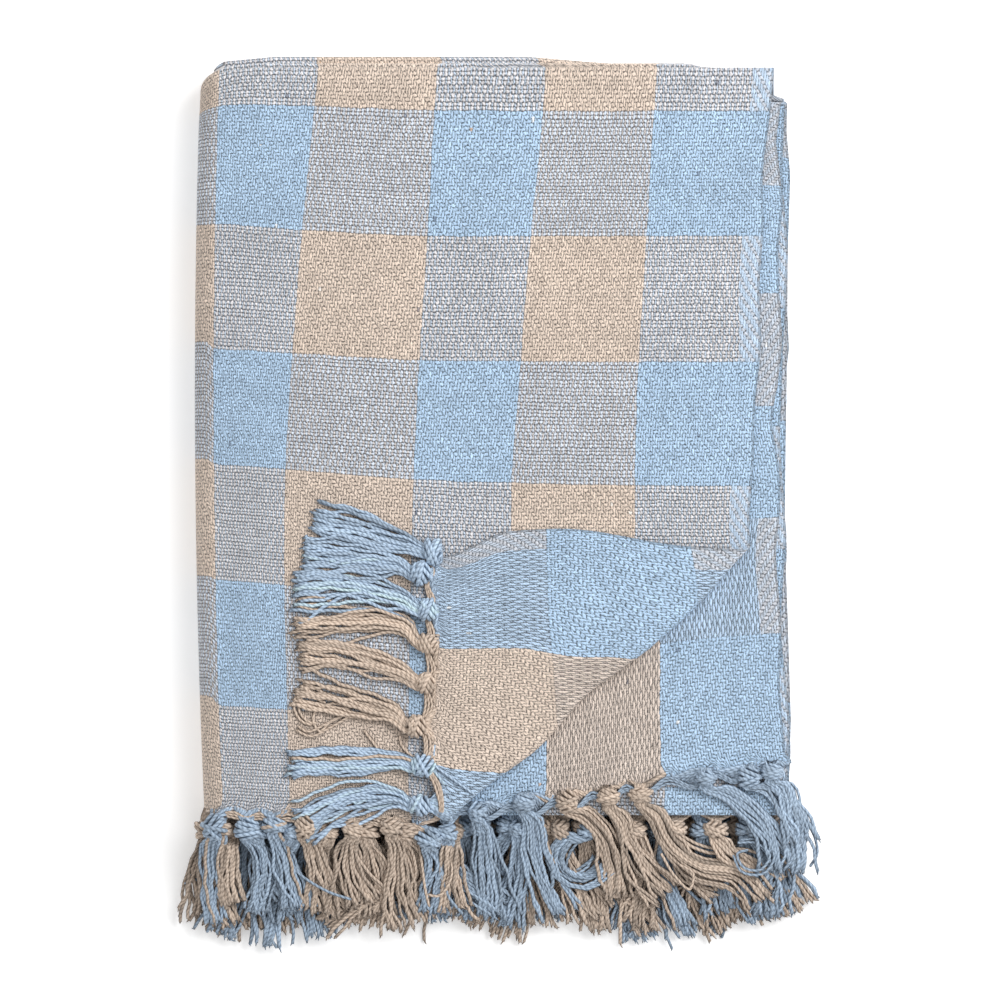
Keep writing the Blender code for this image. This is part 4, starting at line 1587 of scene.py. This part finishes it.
    def wrap(self, yarns: YarnMesh, draws: Draws, colours: CottonColours) -> None:
        """Adds the turns of yarn that show on the knot.

        Args:
            yarns: The mesh of yarns.
            draws: Source of chance.
            colours: The yarn colours.
        """
        side = self.across()
        samples = self.wrap_stations[0 if self.fine else 1]
        turn = np.linspace(-self.wrap_turn, self.wrap_turn, samples)[None, :]
        lower = self.wraps // 2 + 1
        upper = self.wraps - lower
        tilt = draws.choice([-1.0, 1.0]) * (self.wrap_tilts[0] + self.wrap_tilts[1] * draws.random())
        tilts = np.concatenate([np.full(lower, tilt), np.full(upper, self.upper_tilt * tilt)])
        tilts = tilts + self.wrap_tilt_change * draws.standard_normal(self.wraps)
        cosine, sine = np.cos(tilts)[:, None, None], np.sin(tilts)[:, None, None]
        axis, level = cosine * self.out + sine * side, cosine * side - sine * self.out
        places = [np.linspace(*self.lower_places, lower), np.linspace(*self.upper_places, upper)]
        offset = np.concatenate(places)[:, None]
        ring = 1 + self.ring_change * draws.standard_normal((self.wraps, 1))
        ring = np.sqrt(1 - offset**2) * ring
        ring[lower:] *= self.upper_gain
        ring = ring * (1 - self.tuck * smooth_step(np.abs(turn), self.tuck_from, self.wrap_turn))
        size = self.knot_sizes[0] + self.knot_sizes[1] * draws.random()
        ball = offset[..., None] * axis + (ring * np.sin(turn))[..., None] * level
        ball = ball + (ring * np.cos(turn))[..., None] * UP
        halves = np.array(self.knot_halves) * (1 + self.knot_change * draws.standard_normal(3))
        paths = np.zeros_like(ball) + self.knot
        for direction, half in zip((self.out, side, UP), halves):
            reach = half * size - self.yarn_radius * self.wrap_depth
            paths += (ball @ direction)[..., None] * direction * reach
        radii = np.full((self.wraps, samples), self.yarn_radius * self.wrap_radius)
        main = np.mean(self.beige) > 0.5
        own = draws.random(self.wraps) < self.own_colour_share
        beige = np.where(own, main, draws.choice(self.beige, self.wraps))
        yarns.add(paths, radii, self.tint(beige, draws, colours), self.wrap_sides, draws, self.knot)


@dataclass(frozen=True)
class Laid:
    """How one tassel in sight lies.

    Attributes:
        places: The x and y of its knot and then of its path, in millimetres.
        half_width: Half its width at the tip, in millimetres.
        beige: Its colour, where its warp ends don't give it.
    """

    places: Numbers
    half_width: float
    beige: bool | None = None

    def line(self) -> Array:
        """Returns the places in metres, a row for each."""
        return np.array(self.places).reshape(-1, 2) / MILLIMETRES


@dataclass(frozen=True)
class Risen(Laid):
    """A tassel in sight that has come up between others.

    Attributes:
        run: The run that it belongs to.
        on: How many runs lie below it.
    """

    run: int = 0
    on: float = 0.0


@dataclass(frozen=True)
class Stray:
    """One loose yarn.

    Attributes:
        places: The x and y of places that it passes, in millimetres.
        height: Its height in metres, where it isn't on the cloth.
        beige: Whether it is beige.
    """

    places: Numbers
    height: float = 0.0
    beige: bool = False


@dataclass
class LooseYarns:
    """The last weft yarns that bow out between the knots, and yarns that lie apart."""

    folds: FoldMap
    colours: CottonColours
    cloth: Piece
    # Painted light and shade: the hem's loose yarns are darker, and the corner's lighter when it passes
    # its own.
    painted_light_gains: Pair = (0.85, 1.0)
    radius: float = 0.00086
    sides: int = 5
    end_radius: float = 0.6
    above_cloth: float = 1.1
    bow_samples: int = 5
    lay_samples: int = 9
    strands: int = 3
    # Where the first strand of a bow lies, and what each further one adds: out from the hem, out
    # at a notch with a share of chance, and up.
    bow_out: Pair = (-0.0004, 0.0008)
    bow_notch: Triple = (0.0006, 0.0007, 0.0008)
    bow_up: Pair = (0.0010, -0.0003)
    bow_gain: float = 0.98

    def tone(self, beige: bool) -> Array:
        """Returns one yarn's colour, with the painted light and shade of its place."""
        colour = self.colours.loose_beige if beige else self.colours.loose_blue
        return np.array([colour]) * self.painted_light_gains[int(beige)]

    def smooth(self, points: Array, samples: int) -> Array:
        """Returns a smooth line through points, stepped evenly."""
        lengths = walked(points)
        return curve_weights(lengths, np.linspace(0, lengths[-1], samples)) @ points

    def bow(self, yarns: YarnMesh, last: bool, numbers: range, out: Array, draws: Draws) -> None:
        """Adds the weft yarns that bow out between a row of knots.

        Args:
            yarns: The mesh of yarns.
            last: Whether they lie on the last hem.
            numbers: The tassels' numbers from the selvedge.
            out: Direction away from the cloth; only the turned corner's points to the left.
            draws: Source of chance.
        """
        first = self.folds.last_tassel if last else self.folds.first_tassel
        halves = np.arange(2 * len(numbers) - 1) / 2 + numbers[0]
        u = self.folds.width - first - self.folds.tassel_pitch * halves
        hem = self.folds.hem(last, u)[0]
        if out[0] < 0:
            hem = self.folds.turned(hem)
        notch = (np.arange(len(u)) % 2)[:, None]
        least, more, chance = self.bow_notch
        for strand in range(self.strands):
            reach = least + more * strand + chance * draws.random((len(u), 1))
            reach = self.bow_out[0] + self.bow_out[1] * strand + notch * reach
            line = hem + out * reach + UP * (self.bow_up[0] + self.bow_up[1] * strand)
            path = self.folds.lift(self.smooth(line, self.bow_samples * len(u)))
            radii = np.full((1, len(path)), self.radius)
            yarns.add(path[None], radii, self.tone(not last) * self.bow_gain, self.sides, draws)

    def lay(self, yarns: YarnMesh, strays: Sequence[Stray], draws: Draws) -> None:
        """Adds loose yarns, on the cloth or at their own height.

        Args:
            yarns: The mesh of yarns.
            strays: The loose yarns.
            draws: Source of chance.
        """
        for stray in strays:
            places = np.array(stray.places).reshape(-1, 2) / MILLIMETRES
            points = np.concatenate([places, np.full((len(places), 1), stray.height)], axis=1)
            path = self.smooth(points, self.lay_samples * len(places))
            if stray.height == 0.0:
                hits = [self.cloth.ray_cast((x, y, 1.0), (0.0, 0.0, -1.0))[1] for x, y, _ in path]
                path[:, 2] = [hit[2] + self.radius * self.above_cloth for hit in hits]
            radii = np.full((1, len(path)), self.radius)
            radii[0, -1] *= self.end_radius
            yarns.add(path[None], radii, self.tone(stray.beige), self.sides, draws)


@dataclass(frozen=True)
class Pile:
    """How the runs of fringe lie on each other beyond the stack."""

    knot_y: float = -0.2180
    tip_y: float = -0.2695
    stations: Numbers = (-0.2800, -0.2470, -0.2250, -0.2160, -0.2120)
    floors: Numbers = (0.0010, 0.0014, 0.0020, 0.0030, 0.0040)
    slots: Numbers = (0.0015, 0.0030, 0.0041, 0.0043, 0.0043)
    cloth_span: Pair = (-0.2240, -0.2110)

    def surface(self, y: Array, below: float, rest: float) -> Array:
        """Finds the height of a run's middle line.

        Args:
            y: Places towards the fringe's tips.
            below: How many runs lie below.
            rest: Height of the cloth that it lies on before the stack's edge, if that is higher.

        Returns:
            The heights.
        """
        heights = np.array(self.floors) + below * np.array(self.slots)
        found = np.interp(y, self.stations, heights)
        return found + (np.maximum(found, rest) - found) * smooth_step(y, *self.cloth_span)


@dataclass(frozen=True)
class Falling:
    """How much chance changes a tassel that lies as it falls."""

    knot_y: float = 0.0008
    knot_x: float = 0.0012
    slope: float = 0.14
    tip_y: float = 0.0050
    bow: float = 0.0048
    half_width: float = 0.0012


@dataclass
class Fringe:
    """What the fringe of the stack and that of the turned corner share."""

    folds: FoldMap
    weave: WovenCotton
    cloth: Piece
    ends: int = 16
    bows: int = 9
    edge_margin: float = 0.0006
    neck: float = 0.0042
    widening: float = 0.7

    def ends_at(self, centre: float) -> Array:
        """Returns where the warp ends of a tassel lie, from the first selvedge."""
        places = (np.arange(self.ends) - (self.ends - 1) / 2) * self.folds.tassel_pitch / self.ends
        return np.minimum(centre + places, self.folds.width - self.edge_margin)

    def spread(self, half: float, count: int) -> Numbers:
        """Returns a tassel's half width at each station of its path."""
        return tuple(self.neck + (half - self.neck) * np.linspace(0, 1, count) ** self.widening)


@dataclass
class HemFringe(Fringe):
    """The tassels of the two hems where they lie in the stack, one run for each layer."""

    pile: Pile = Pile()
    falling: Falling = Falling()
    layers: tuple[int, ...] = (1, 2, 7, 8, 9, 10, 15, 16)
    out: Triple = (0.0, -1.0, 0.0)
    upper_knots: float = 0.0022
    second_lies_on: int = 3
    second_rest: float = 0.0016
    # On the top layer, tassels past this distance from the corner's line are the corner's.
    turned_from: float = -0.002
    turned_layers: float = 1.01
    # Where the tassels that lie as they fall point and end: how far each run's tips reach, how it
    # leans, how the ends of a run fan out, and how the outline of the tips moves, in millimetres.
    reach: Numbers = (0.006, 0.004, -0.002, -0.004, 0.003, -0.003, 0.001, -0.001)
    lean: Numbers = (0.0, 0.10, 0.06, 0.10, 0.0, 0.06, 0.03, 0.08)
    fan: float = 0.10
    far_left: float = -0.07
    far_left_from: float = -0.125
    far_left_past: float = 0.012
    limits: Pair = (-0.163, 0.168)
    tip_places: Numbers = (
        -162, -151, -140, -126, -117, -107, -73, -50, -28, -6, 17, 39, 73, 95, 118, 140, 162, 174,
    )
    tip_moves: Numbers = (
        -3.5, 6.5, 7.5, 2.5, -4.5, 2.2, -2.2, -4.5, -5.6, -2.8, 1.1, -4.5, -1.5, 5.0, -3.0, -1.7,
        -7.8, -11.0,
    )
    knot_drop: float = 0.0068
    path_drop: float = 0.0055
    path_shares: Numbers = (0.13, 0.34, 0.56, 0.78, 1.0)
    path_curve: float = 1.2
    bow_turn: float = 1.4
    half_width: float = 0.0098
    # The tassels in sight: from the ninth on the first hem, the first ones of the last hem, and
    # those that have come up from below.
    on_top_from: int = 8
    on_top: tuple[Laid, ...] = (
        Laid((-34.2, -223, -33, -230.7, -31.4, -240.8, -33.6, -252, -34.7, -264.3), 5.5),
        Laid((-54.9, -216.7, -52.6, -225.1, -49.8, -240.8, -49.3, -254.8, -43.7, -271.6), 9.0),
        Laid((-76.7, -217.8, -78.4, -225.7, -79.5, -239.7, -77.3, -250.9, -73.9, -260.4), 13.0),
        Laid((-103.6, -216.7, -100.8, -225.1, -97.4, -236.3, -94.6, -250.9, -95.2, -266), 8.0),
        Laid((-121, -215.6, -119.3, -224.6, -114.2, -241.9, -110.9, -253.7, -109.2, -263.2), 9.0),
        Laid((-136, -217.8, -132, -226.5, -127.5, -240.8, -128.5, -254.8, -130.2, -265.7), 7.5),
        Laid((-154.5, -216.7, -157, -227, -157.6, -240, -157.6, -256, -156, -271), 5.2),
    )
    below: tuple[Laid, ...] = (
        Laid((157.9, -185.9, 163.6, -193.2, 169, -210, 172.6, -226.8, 172, -241.7), 7.6),
        Laid((145, -188.7, 154.6, -193.8, 165.5, -204, 172.2, -214.4, 175.5, -225), 7.4),
        Laid((121, -189.3, 131, -196.6, 147.4, -208.3, 159.4, -222.9, 164.9, -239.7), 8.5),
        Laid(
            (84.6, -198.8, 90.7, -208.3, 101.9, -226.8, 117.6, -238.6, 141.1, -243, 154.6, -256.7),
            8.0,
        ),
        Laid((66.1, -199.9, 71.1, -209.4, 78.4, -225.1, 86.8, -239.7, 99.7, -253.7), 9.0),
        Laid((43.1, -202.2, 50.5, -208.8, 63, -222, 69, -240, 70.5, -256.5), 6.4),
        Laid((19, -203.3, 22.4, -211.1, 25.2, -229.6, 31.4, -249.2, 40.3, -266), 9.0),
        Laid((-6.7, -208.3, -4.5, -217.3, -3.4, -235.2, -2.2, -252, -1.1, -267.7), 9.0),
    )
    risen: tuple[Risen, ...] = (
        Risen(
            (-145.5, -219, -145.7, -227, -146, -236, -146.6, -247, -144.6, -260.5),
            7.0, True, 2, 7.4,
        ),
        Risen((-21.5, -219.5, -21.5, -228, -22, -240, -21, -251, -18.5, -263), 8.5, True, 2, 6.9),
        Risen((55, -219, 46, -222, 38, -233, 43, -245, 56, -247, 63.5, -239), 6.0, False, 2, 5.5),
        Risen((105, -218, 106, -228, 112, -240, 120, -248, 128, -252), 7.0, True, 2, 5.5),
        Risen((127, -218.5, 129, -225, 134, -233, 141, -238, 147, -244), 6.0, True, 2, 5.5),
    )
    strays: tuple[Stray, ...] = (
        Stray((-155, -232, -160, -243, -168, -249, -172.5, -250), 0.0120),
        Stray((-120, -232, -104, -246, -90, -254, -78, -258), 0.0245),
        Stray((-32, -224, -23, -233, -22, -246, -30, -256, -35, -255), 0.0270, True),
        Stray((-40, -226, -38, -240, -36, -254, -34, -262), 0.0270, True),
        Stray((178, -214, 183, -224, 184, -233, 180, -240), 0.0200),
        Stray(
            (139, -226, 150, -226.5, 157, -233, 152, -241, 142, -239.5, 139, -232, 145, -230),
            0.0265,
        ),
        Stray((141, -224.5, 152, -224.5, 159.5, -233, 154, -243, 141, -242, 136.5, -233), 0.0258),
        Stray((96, -232, 104, -245, 112, -252, 114, -243, 106, -238), 0.0275, True),
    )

    def build(self, material: Material) -> list[Piece]:
        """Makes one piece for each run.

        Args:
            material: The yarn's finish.

        Returns:
            The pieces, from the top down.
        """
        draws = np.random.default_rng(SEED)
        meshes = [YarnMesh() for _ in self.layers]
        for last in (False, True):
            number = 0
            centre = self.folds.width - (self.folds.last_tassel if last else self.folds.first_tassel)
            while centre > self.folds.tassel_pitch / 2:
                self.add_tassel(meshes, last, number, centre, draws)
                centre -= self.folds.tassel_pitch
                number += 1
        apart = LooseYarns(self.folds, self.weave.colours, self.cloth)
        away = np.array(self.out)
        seen = range(self.on_top_from, self.on_top_from + len(self.on_top))
        apart.bow(meshes[0], False, seen, away, draws)
        apart.bow(meshes[1], True, range(self.bows), away, draws)
        apart.lay(meshes[1], self.strays, draws)
        names = [f"tassels_layer_{layer:02d}" for layer in self.layers]
        return [mesh.build(name, material) for mesh, name in zip(meshes, names)]

    def add_tassel(
        self, meshes: Sequence[YarnMesh], last: bool, number: int, centre: float, draws: Draws
    ) -> None:
        """Adds one tassel to its run, unless it is on the turned corner.

        Args:
            meshes: The meshes of the runs.
            last: Whether it is on the last hem.
            number: Its number from the last selvedge.
            centre: Its middle, from the first selvedge.
            draws: Source of chance.
        """
        u = self.ends_at(centre)
        roots = self.folds.hem(last, u)[0]
        middles, layers = self.folds.hem(last, np.array([centre]))
        middle, layer = middles[0], layers[0]
        if self.folds.flap_distance(middle) > self.turned_from and layer < self.turned_layers:
            return
        run = int(np.argmin(np.abs(layer - np.array(self.layers))))
        known = enumerate(self.below) if last else enumerate(self.on_top, self.on_top_from)
        laid = dict(known).get(number) if run < 2 else None
        nearest = self.folds.tassel_pitch / 2
        for item in self.risen:
            if item.run == run and abs(item.line()[0, 0] - middle[0]) < nearest:
                laid = item
                break
        if laid is None:
            tassel = self.loose(run, middle, roots, u, draws)
        else:
            tassel = self.tassel(run, laid.line(), laid.half_width / MILLIMETRES, roots, u)
            if laid.beige is not None:
                tassel.beige = np.full(len(u), laid.beige)
        if isinstance(laid, Risen):
            tassel.path[:, 2] = self.pile.surface(tassel.path[:, 1], laid.on, 0.0)
        tassel.add_to(meshes[run], draws, self.weave.colours)

    def tassel(self, run: int, line: Array, half: float, roots: Array, u: Array) -> Tassel:
        """Gives a tassel its heights and its widths.

        Args:
            run: Its run, from the top down.
            line: Places of its knot and then of its middle line, from above.
            half: Half its greatest width.
            roots: Where its warp ends leave the cloth.
            u: The ends' distances from the first selvedge.

        Returns:
            The tassel.
        """
        rest = 0.0
        if run == 1:
            cloth = self.folds.layer_height(self.second_lies_on) + self.folds.thickness / 2
            rest = cloth + self.second_rest
        heights = self.pile.surface(line[:, 1], len(self.layers) - 1 - run, rest)
        heights[0] += self.upper_knots if run <= 1 else 0.0
        points = self.folds.lift(np.concatenate([line, heights[:, None]], axis=1))
        return Tassel(
            roots=self.folds.lift(roots),
            out=np.array(self.out),
            knot=points[0],
            path=points[1:],
            spread=self.spread(half, len(line) - 1),
            beige=self.weave.bundle_is_beige(u),
            fine=run <= 1,
        )

    def loose(self, run: int, middle: Array, roots: Array, u: Array, draws: Draws) -> Tassel:
        """Lays out a tassel that lies as it falls.

        Args:
            run: Its run, from the top down.
            middle: The middle of its roots.
            roots: Where its warp ends leave the cloth.
            u: The ends' distances from the first selvedge.
            draws: Source of chance.

        Returns:
            The tassel.
        """
        folds, change = self.folds, self.falling
        knot_y = min(self.pile.knot_y, middle[1] - self.knot_drop) + draws.normal() * change.knot_y
        x = middle[0] + draws.normal() * change.knot_x
        fan = self.fan * (2 * x - folds.side_x - folds.open_x) / (folds.open_x - folds.side_x)
        at_left = smooth_step(x, self.far_left_from, folds.side_x - self.far_left_past)
        slope = self.lean[run] + fan + self.far_left * at_left + draws.normal() * change.slope
        tip_y = self.pile.tip_y + self.reach[run] + draws.normal() * change.tip_y
        tip_x = np.clip(x + slope * (knot_y - tip_y), *self.limits)
        tip_y -= np.interp(tip_x * MILLIMETRES, self.tip_places, self.tip_moves) / MILLIMETRES
        shares = np.array([0.0, *self.path_shares])
        sway = draws.normal() * change.bow * np.sin(np.pi * shares * self.bow_turn)
        path_x = x + (tip_x - x) * shares**self.path_curve + sway
        path_y = knot_y - self.path_drop + (tip_y - knot_y + self.path_drop) * shares
        path_y[0] = knot_y
        half = self.half_width + change.half_width * draws.normal()
        return self.tassel(run, np.stack([path_x, path_y], axis=1), half, roots, u)


@dataclass
class CornerFringe(Fringe):
    """The tassels on the turned corner's hem, which lie on the top layer and point to the left."""

    ends: int = 18
    out: Triple = (-1.0, 0.0, 0.0)
    # Painted light: the corner's yarns are lighter than the same yarn in the hem's fringe.
    painted_light_gains: Pair = (1.18, 1.02)
    knot_height: float = 0.0036
    path_heights: Pair = (0.0026, 0.0015)
    laid: tuple[Laid, ...] = (
        Laid((-31.9, -62.2, -43.7, -58.8, -55, -55.5, -74, -50, -98.4, -45.5), 9.5),
        Laid((-38.6, -74.5, -49.3, -70.6, -60, -69, -80, -66.5, -103.7, -65.9), 10.0),
        Laid((-34.7, -95.2, -45.2, -90.8, -58, -86, -78, -82, -108.5, -83.6), 8.5),
        Laid((-34.7, -113.7, -44.8, -106.3, -60, -101, -80, -101.6, -108.1, -103), 9.5),
        Laid((-35.8, -136.1, -46.5, -132, -60, -126, -80, -121, -105, -120), 9.5),
        Laid((-41.4, -160.2, -52.1, -154.4, -65, -150.5, -84, -145, -107, -140), 9.0),
        Laid((-37.5, -182, -49.3, -179.8, -62, -178.6, -84, -178.6, -111.5, -178.6), 8.0),
        Laid((-39.2, -204.4, -49.3, -201, -64, -199.6, -87, -204.5, -105, -215.5), 9.0),
    )
    strays: tuple[Stray, ...] = (
        Stray((-33.6, -180.3, -19.6, -190.4, -8.6, -198.2)),
        Stray(
            (-89.6, -145.6, -106.4, -140, -109.8, -148.4, -104.7, -157.9, -99.7, -159.6),
            0.0, True,
        ),
        Stray((-92, -147, -105, -143.5, -107, -150.5, -101, -158, -97, -158.5), 0.0, True),
        Stray(
            (
                -78.4, -150.3, -97.4, -151.3, -99.1, -156.8,
                -95.2, -163.1, -89.6, -157.9, -77.3, -152.4,
            ),
            0.0, True,
        ),
        Stray((-76.3, -153.1, -89.6, -161, -100.8, -165.8, -108.6, -162.4), 0.0, True),
        Stray((-79, -152.5, -92, -159, -103, -163, -107.5, -160), 0.0, True),
        Stray((-97, -61, -101.5, -57.5, -103, -53.5, -102, -60.5)),
        Stray((-70.5, -162.4, -68, -166, -64.5, -170.6, -62, -175, -63.5, -179), 0.0, True),
        Stray((-50.5, -165.5, -50, -169.5, -45, -176, -37.5, -180), 0.0, True),
    )

    def build(self, material: Material) -> Piece:
        """Makes the corner's fringe.

        Args:
            material: The yarn's finish.

        Returns:
            The piece.
        """
        folds, out = self.folds, np.array(self.out)
        draws = np.random.default_rng(SEED + 1)
        yarns = YarnMesh()
        surface = folds.stack_top + folds.thickness / 2
        for index, laid in enumerate(self.laid):
            u = self.ends_at(folds.width - folds.first_tassel - folds.tassel_pitch * index)
            line = laid.line()
            count = len(line) - 1
            heights = surface + np.array([self.knot_height, *np.linspace(*self.path_heights, count)])
            points = folds.lift(np.concatenate([line, heights[:, None]], axis=1))
            tassel = Tassel(
                roots=folds.lift(folds.turned(folds.hem(False, u)[0])),
                out=out,
                knot=points[0],
                path=points[1:],
                spread=self.spread(laid.half_width / MILLIMETRES, count),
                beige=self.weave.bundle_is_beige(u),
                painted_light_gains=self.painted_light_gains,
            )
            tassel.add_to(yarns, draws, self.weave.colours)
        apart = LooseYarns(folds, self.weave.colours, self.cloth, self.painted_light_gains)
        apart.bow(yarns, False, range(self.bows), out, draws)
        apart.lay(yarns, self.strays, draws)
        return yarns.build("tassels_corner", material)


# ---------------- the studio


@dataclass
class Studio:
    """The pale floor, the soft light and the camera straight above."""

    picture_width: float = 0.56
    centre: Pair = (0.0056, -0.0336)
    height: float = 3.0
    plane_z: float = 0.034
    sensor_width: float = 36.0
    floor_size: float = 8.0
    floor_z: float = -0.0004
    floor_colour: Triple = (0.93, 0.93, 0.93)
    floor_roughness: float = 0.9
    floor_glow: float = 0.30
    white: Triple = (1.0, 1.0, 1.0)
    sky_strength: float = 0.66
    key_place: Triple = (1.0, 0.7, 1.35)
    key_power: float = 27.0
    key_size: float = 1.2

    def build(self) -> None:
        """Makes the floor, the lights and the camera."""
        self.floor()
        world = bpy.data.worlds.new("studio")
        world.use_nodes = True
        sky = world.node_tree.nodes["Background"]
        sky.inputs["Color"].default_value = (*self.white, 1.0)
        sky.inputs["Strength"].default_value = self.sky_strength
        bpy.context.scene.world = world
        self.lamp()
        self.camera()
        bpy.context.scene.view_settings.view_transform = "Standard"

    def floor(self) -> None:
        """Adds the floor, which glows faintly."""
        bpy.ops.object.select_all(action="DESELECT")
        bpy.ops.mesh.primitive_plane_add(size=self.floor_size, location=(0, 0, self.floor_z))
        floor = bpy.context.object
        floor.name = "studio_floor"
        floor.data.materials.append(
            NodeSheet("studio_floor").finish(
                Base_Color=self.floor_colour,
                Roughness=self.floor_roughness,
                Emission_Color=self.white,
                Emission_Strength=self.floor_glow,
            )
        )

    def lamp(self) -> None:
        """Adds a square area lamp that looks at the throw."""
        data = bpy.data.lights.new("key", "AREA")
        data.energy = self.key_power
        data.size = self.key_size
        lamp = bpy.data.objects.new("key", data)
        lamp.location = self.key_place
        lamp.rotation_euler = (-Vector(self.key_place)).to_track_quat("-Z", "Y").to_euler()
        bpy.context.scene.collection.objects.link(lamp)

    def camera(self) -> None:
        """Adds the camera, straight above, with the photograph's framing."""
        data = bpy.data.cameras.new("camera")
        data.sensor_width = self.sensor_width
        data.lens = self.sensor_width * (self.height - self.plane_z) / self.picture_width
        camera = bpy.data.objects.new("camera", data)
        camera.location = (*self.centre, self.height)
        bpy.context.scene.collection.objects.link(camera)
        bpy.context.scene.camera = camera


def main() -> None:
    """Builds the throw, its fringe and the studio."""
    logging.basicConfig(level=logging.INFO, format="%(name)s %(message)s")
    bpy.ops.object.select_all(action="DESELECT")
    folds, weave = FoldMap(), WovenCotton()
    cloth = WovenThrow(folds, weave).build()
    yarn = FringeYarn().build()
    fringe = HemFringe(folds, weave, cloth)
    tassels = fringe.build(yarn)
    corner = CornerFringe(folds, weave, cloth).build(yarn)
    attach(cloth, "root")
    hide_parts("throw_cloth")
    for piece, layer in zip(tassels, fringe.layers):
        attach(piece, "root")
        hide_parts(f"fringe_layer_{layer:02d}")
    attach(corner, "root")
    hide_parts("fringe_flap")
    for piece in (cloth, *tassels, corner):
        LOG.info("%s: %d faces", piece.name, len(piece.data.polygons))
    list(tassels)
    Studio().build()
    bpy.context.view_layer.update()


if __name__ == "__main__":
    main()
